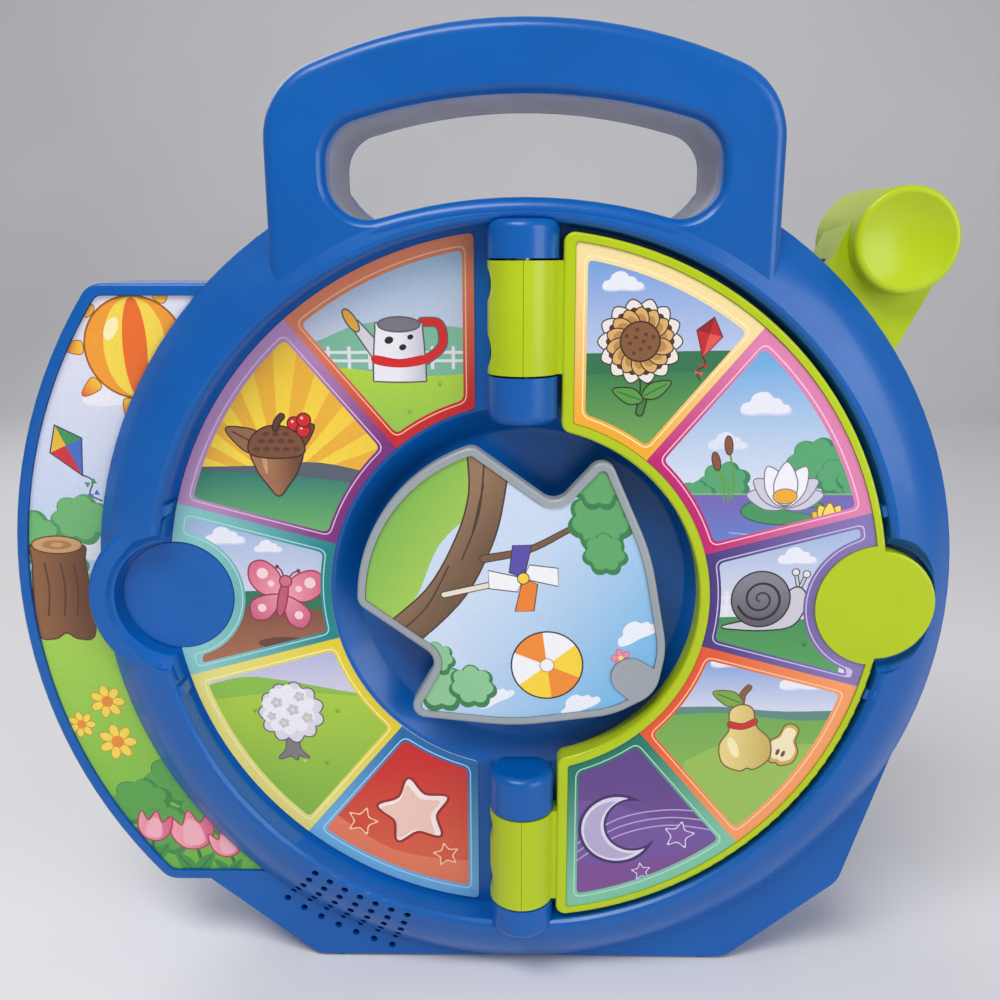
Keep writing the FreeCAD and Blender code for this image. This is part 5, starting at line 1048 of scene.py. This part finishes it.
def inner_pictures(node, name, body, geometry, left, mirrored, order):
    """The quieter pictures that show when the page is turned over."""
    outline = face_outline(node, not mirrored)
    if mirrored:
        outline = [(-u, v) for u, v in outline]
    sheet = Print(outline)
    for i, cell in enumerate(cells(*geometry, left)):
        pale, strong, line, far, near = SCHEMES[order[i]]
        cell.border(sheet, pale, strong, line)
        radius = (geometry[0] + geometry[1]) / 2 - (4 if i == TAB_CELL else 0)
        angle = radians(MIDDLES[i])
        cu = radius * cos(angle) * (-1 if left else 1)
        cv = radius * sin(angle)
        field(sheet, cu, cv, fade(cv - 20, cv + 20, mix(far, (1, 1, 1), 0.3), far), 50)
        hill(sheet, [(cu - 50, cv - 8), (cu - 16, cv - 5), (cu + 10, cv - 8), (cu + 50, cv - 6)], cv - 60, near)
        kind = order[i]
        if kind == 0:
            sunflower(sheet, cu, cv + 3, 0.95)
        elif kind == 1:
            acorn(sheet, cu, cv, 0.95)
        elif kind == 2:
            water_lily(sheet, cu, cv - 3, 1.15, rgb(0xFAC4D6), rgb(0xEC9CBA), rgb(0xFADC5A),
                       rgb(0x963C64))
        elif kind == 3:
            pear(sheet, cu, cv - 1, 0.95)
        else:
            moon(sheet, cu, cv, 0.95, rgb(0xECDE96), rgb(0xFAF2C8), rgb(0x3C286E))
            outline_star(sheet, cu + 9, cv + 7, 3.6, 0.4, rgb(0xF0E6FA), rgb(0x6E54A0), 80)
    low_y, high_y = depths(node)
    obj = sheet.build(name, *((high_y, low_y) if mirrored else (low_y, high_y)), mirrored)
    if mirrored:
        obj.data.flip_normals()
    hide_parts(node)
    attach(obj, body)


left_pictures()
page_pictures()
wing_picture()
pointer_picture()
inner_pictures("right_label", "right_pictures", "case", FACE_SHEET, False, False, (3, 2, 0, 4, 1))
inner_pictures("page_back_label", "page_back_pictures", "page", PAGE_SHEET, True, True, (1, 4, 3, 0, 2))

# ---------------------------------------------------------------- stage, light and camera
floor_material, f_nodes, f_links, f_shader = new_material("pale_floor")
f_noise = noise(f_nodes, f_links, 3.0, 2.0)
f_tint = ramp(f_nodes, f_links, f_noise.outputs["Fac"], [(0.3, (0.76, 0.76, 0.78)), (0.7, (0.80, 0.80, 0.82))])
f_links.new(f_tint.outputs["Color"], f_shader.inputs["Base Color"])
f_shader.inputs["Roughness"].default_value = 0.55

FLOOR_FRONT, FLOOR_BACK, HALF_WIDTH = -1.6, 1.1, 4.0
BEND, BEND_STEPS, WALL_TOP = 0.5, 16, 3.0
profile = [(FLOOR_FRONT, 0.0)]
for k in range(BEND_STEPS + 1):
    a = radians(90 * k / BEND_STEPS)
    profile.append((FLOOR_BACK + BEND * sin(a), BEND - BEND * cos(a)))
profile.append((FLOOR_BACK + BEND, WALL_TOP))
verts = [(x, y, z) for y, z in profile for x in (-HALF_WIDTH, HALF_WIDTH)]
faces = [(2 * i, 2 * i + 1, 2 * i + 3, 2 * i + 2) for i in range(len(profile) - 1)]
floor_mesh = bpy.data.meshes.new("floor")
floor_mesh.from_pydata(verts, [], faces)
for polygon in floor_mesh.polygons:
    polygon.use_smooth = True
floor_mesh.materials.append(floor_material)
floor = bpy.data.objects.new("floor", floor_mesh)
bpy.context.scene.collection.objects.link(floor)


LIT_POINT = Vector((0, 0, 0.15))


def softbox(name, location, size, power, colour=(1.0, 1.0, 1.0)):
    """Area lamp that looks at the lit point."""
    data = bpy.data.lights.new(name, "AREA")
    data.shape = "RECTANGLE"
    data.size, data.size_y = size
    data.energy = power
    data.color = colour
    light = bpy.data.objects.new(name, data)
    light.location = location
    light.rotation_euler = (LIT_POINT - Vector(location)).to_track_quat("-Z", "Y").to_euler()
    bpy.context.scene.collection.objects.link(light)


softbox("key", (-0.35, -0.75, 1.35), (0.9, 0.5), 14.5, (1.0, 0.98, 0.95))
softbox("fill", (1.1, -0.9, 0.5), (0.9, 0.9), 8.5)
softbox("back", (-0.6, 0.8, 0.9), (0.9, 0.6), 3.5)

world = bpy.data.worlds.new("studio")
bpy.context.scene.world = world
world.use_nodes = True
world.node_tree.nodes["Background"].inputs["Color"].default_value = (0.92, 0.94, 1.0, 1.0)
world.node_tree.nodes["Background"].inputs["Strength"].default_value = 0.26

camera_data = bpy.data.cameras.new("camera")
camera_data.sensor_width = 36.0
camera_data.lens = 36.0
camera_data.clip_start = 0.01
camera = bpy.data.objects.new("camera", camera_data)
camera.location = (0.0109, -0.3101, 0.2317)
look = (Matrix.Rotation(radians(0.91), 3, "Z") @ Matrix.Rotation(radians(-13.94), 3, "X")
        @ Matrix.Rotation(radians(0.13), 3, "Y") @ Matrix.Rotation(radians(90), 3, "X"))
camera.rotation_euler = look.to_euler()
bpy.context.scene.collection.objects.link(camera)
bpy.context.scene.camera = camera
bpy.context.scene.view_settings.view_transform = "Standard"
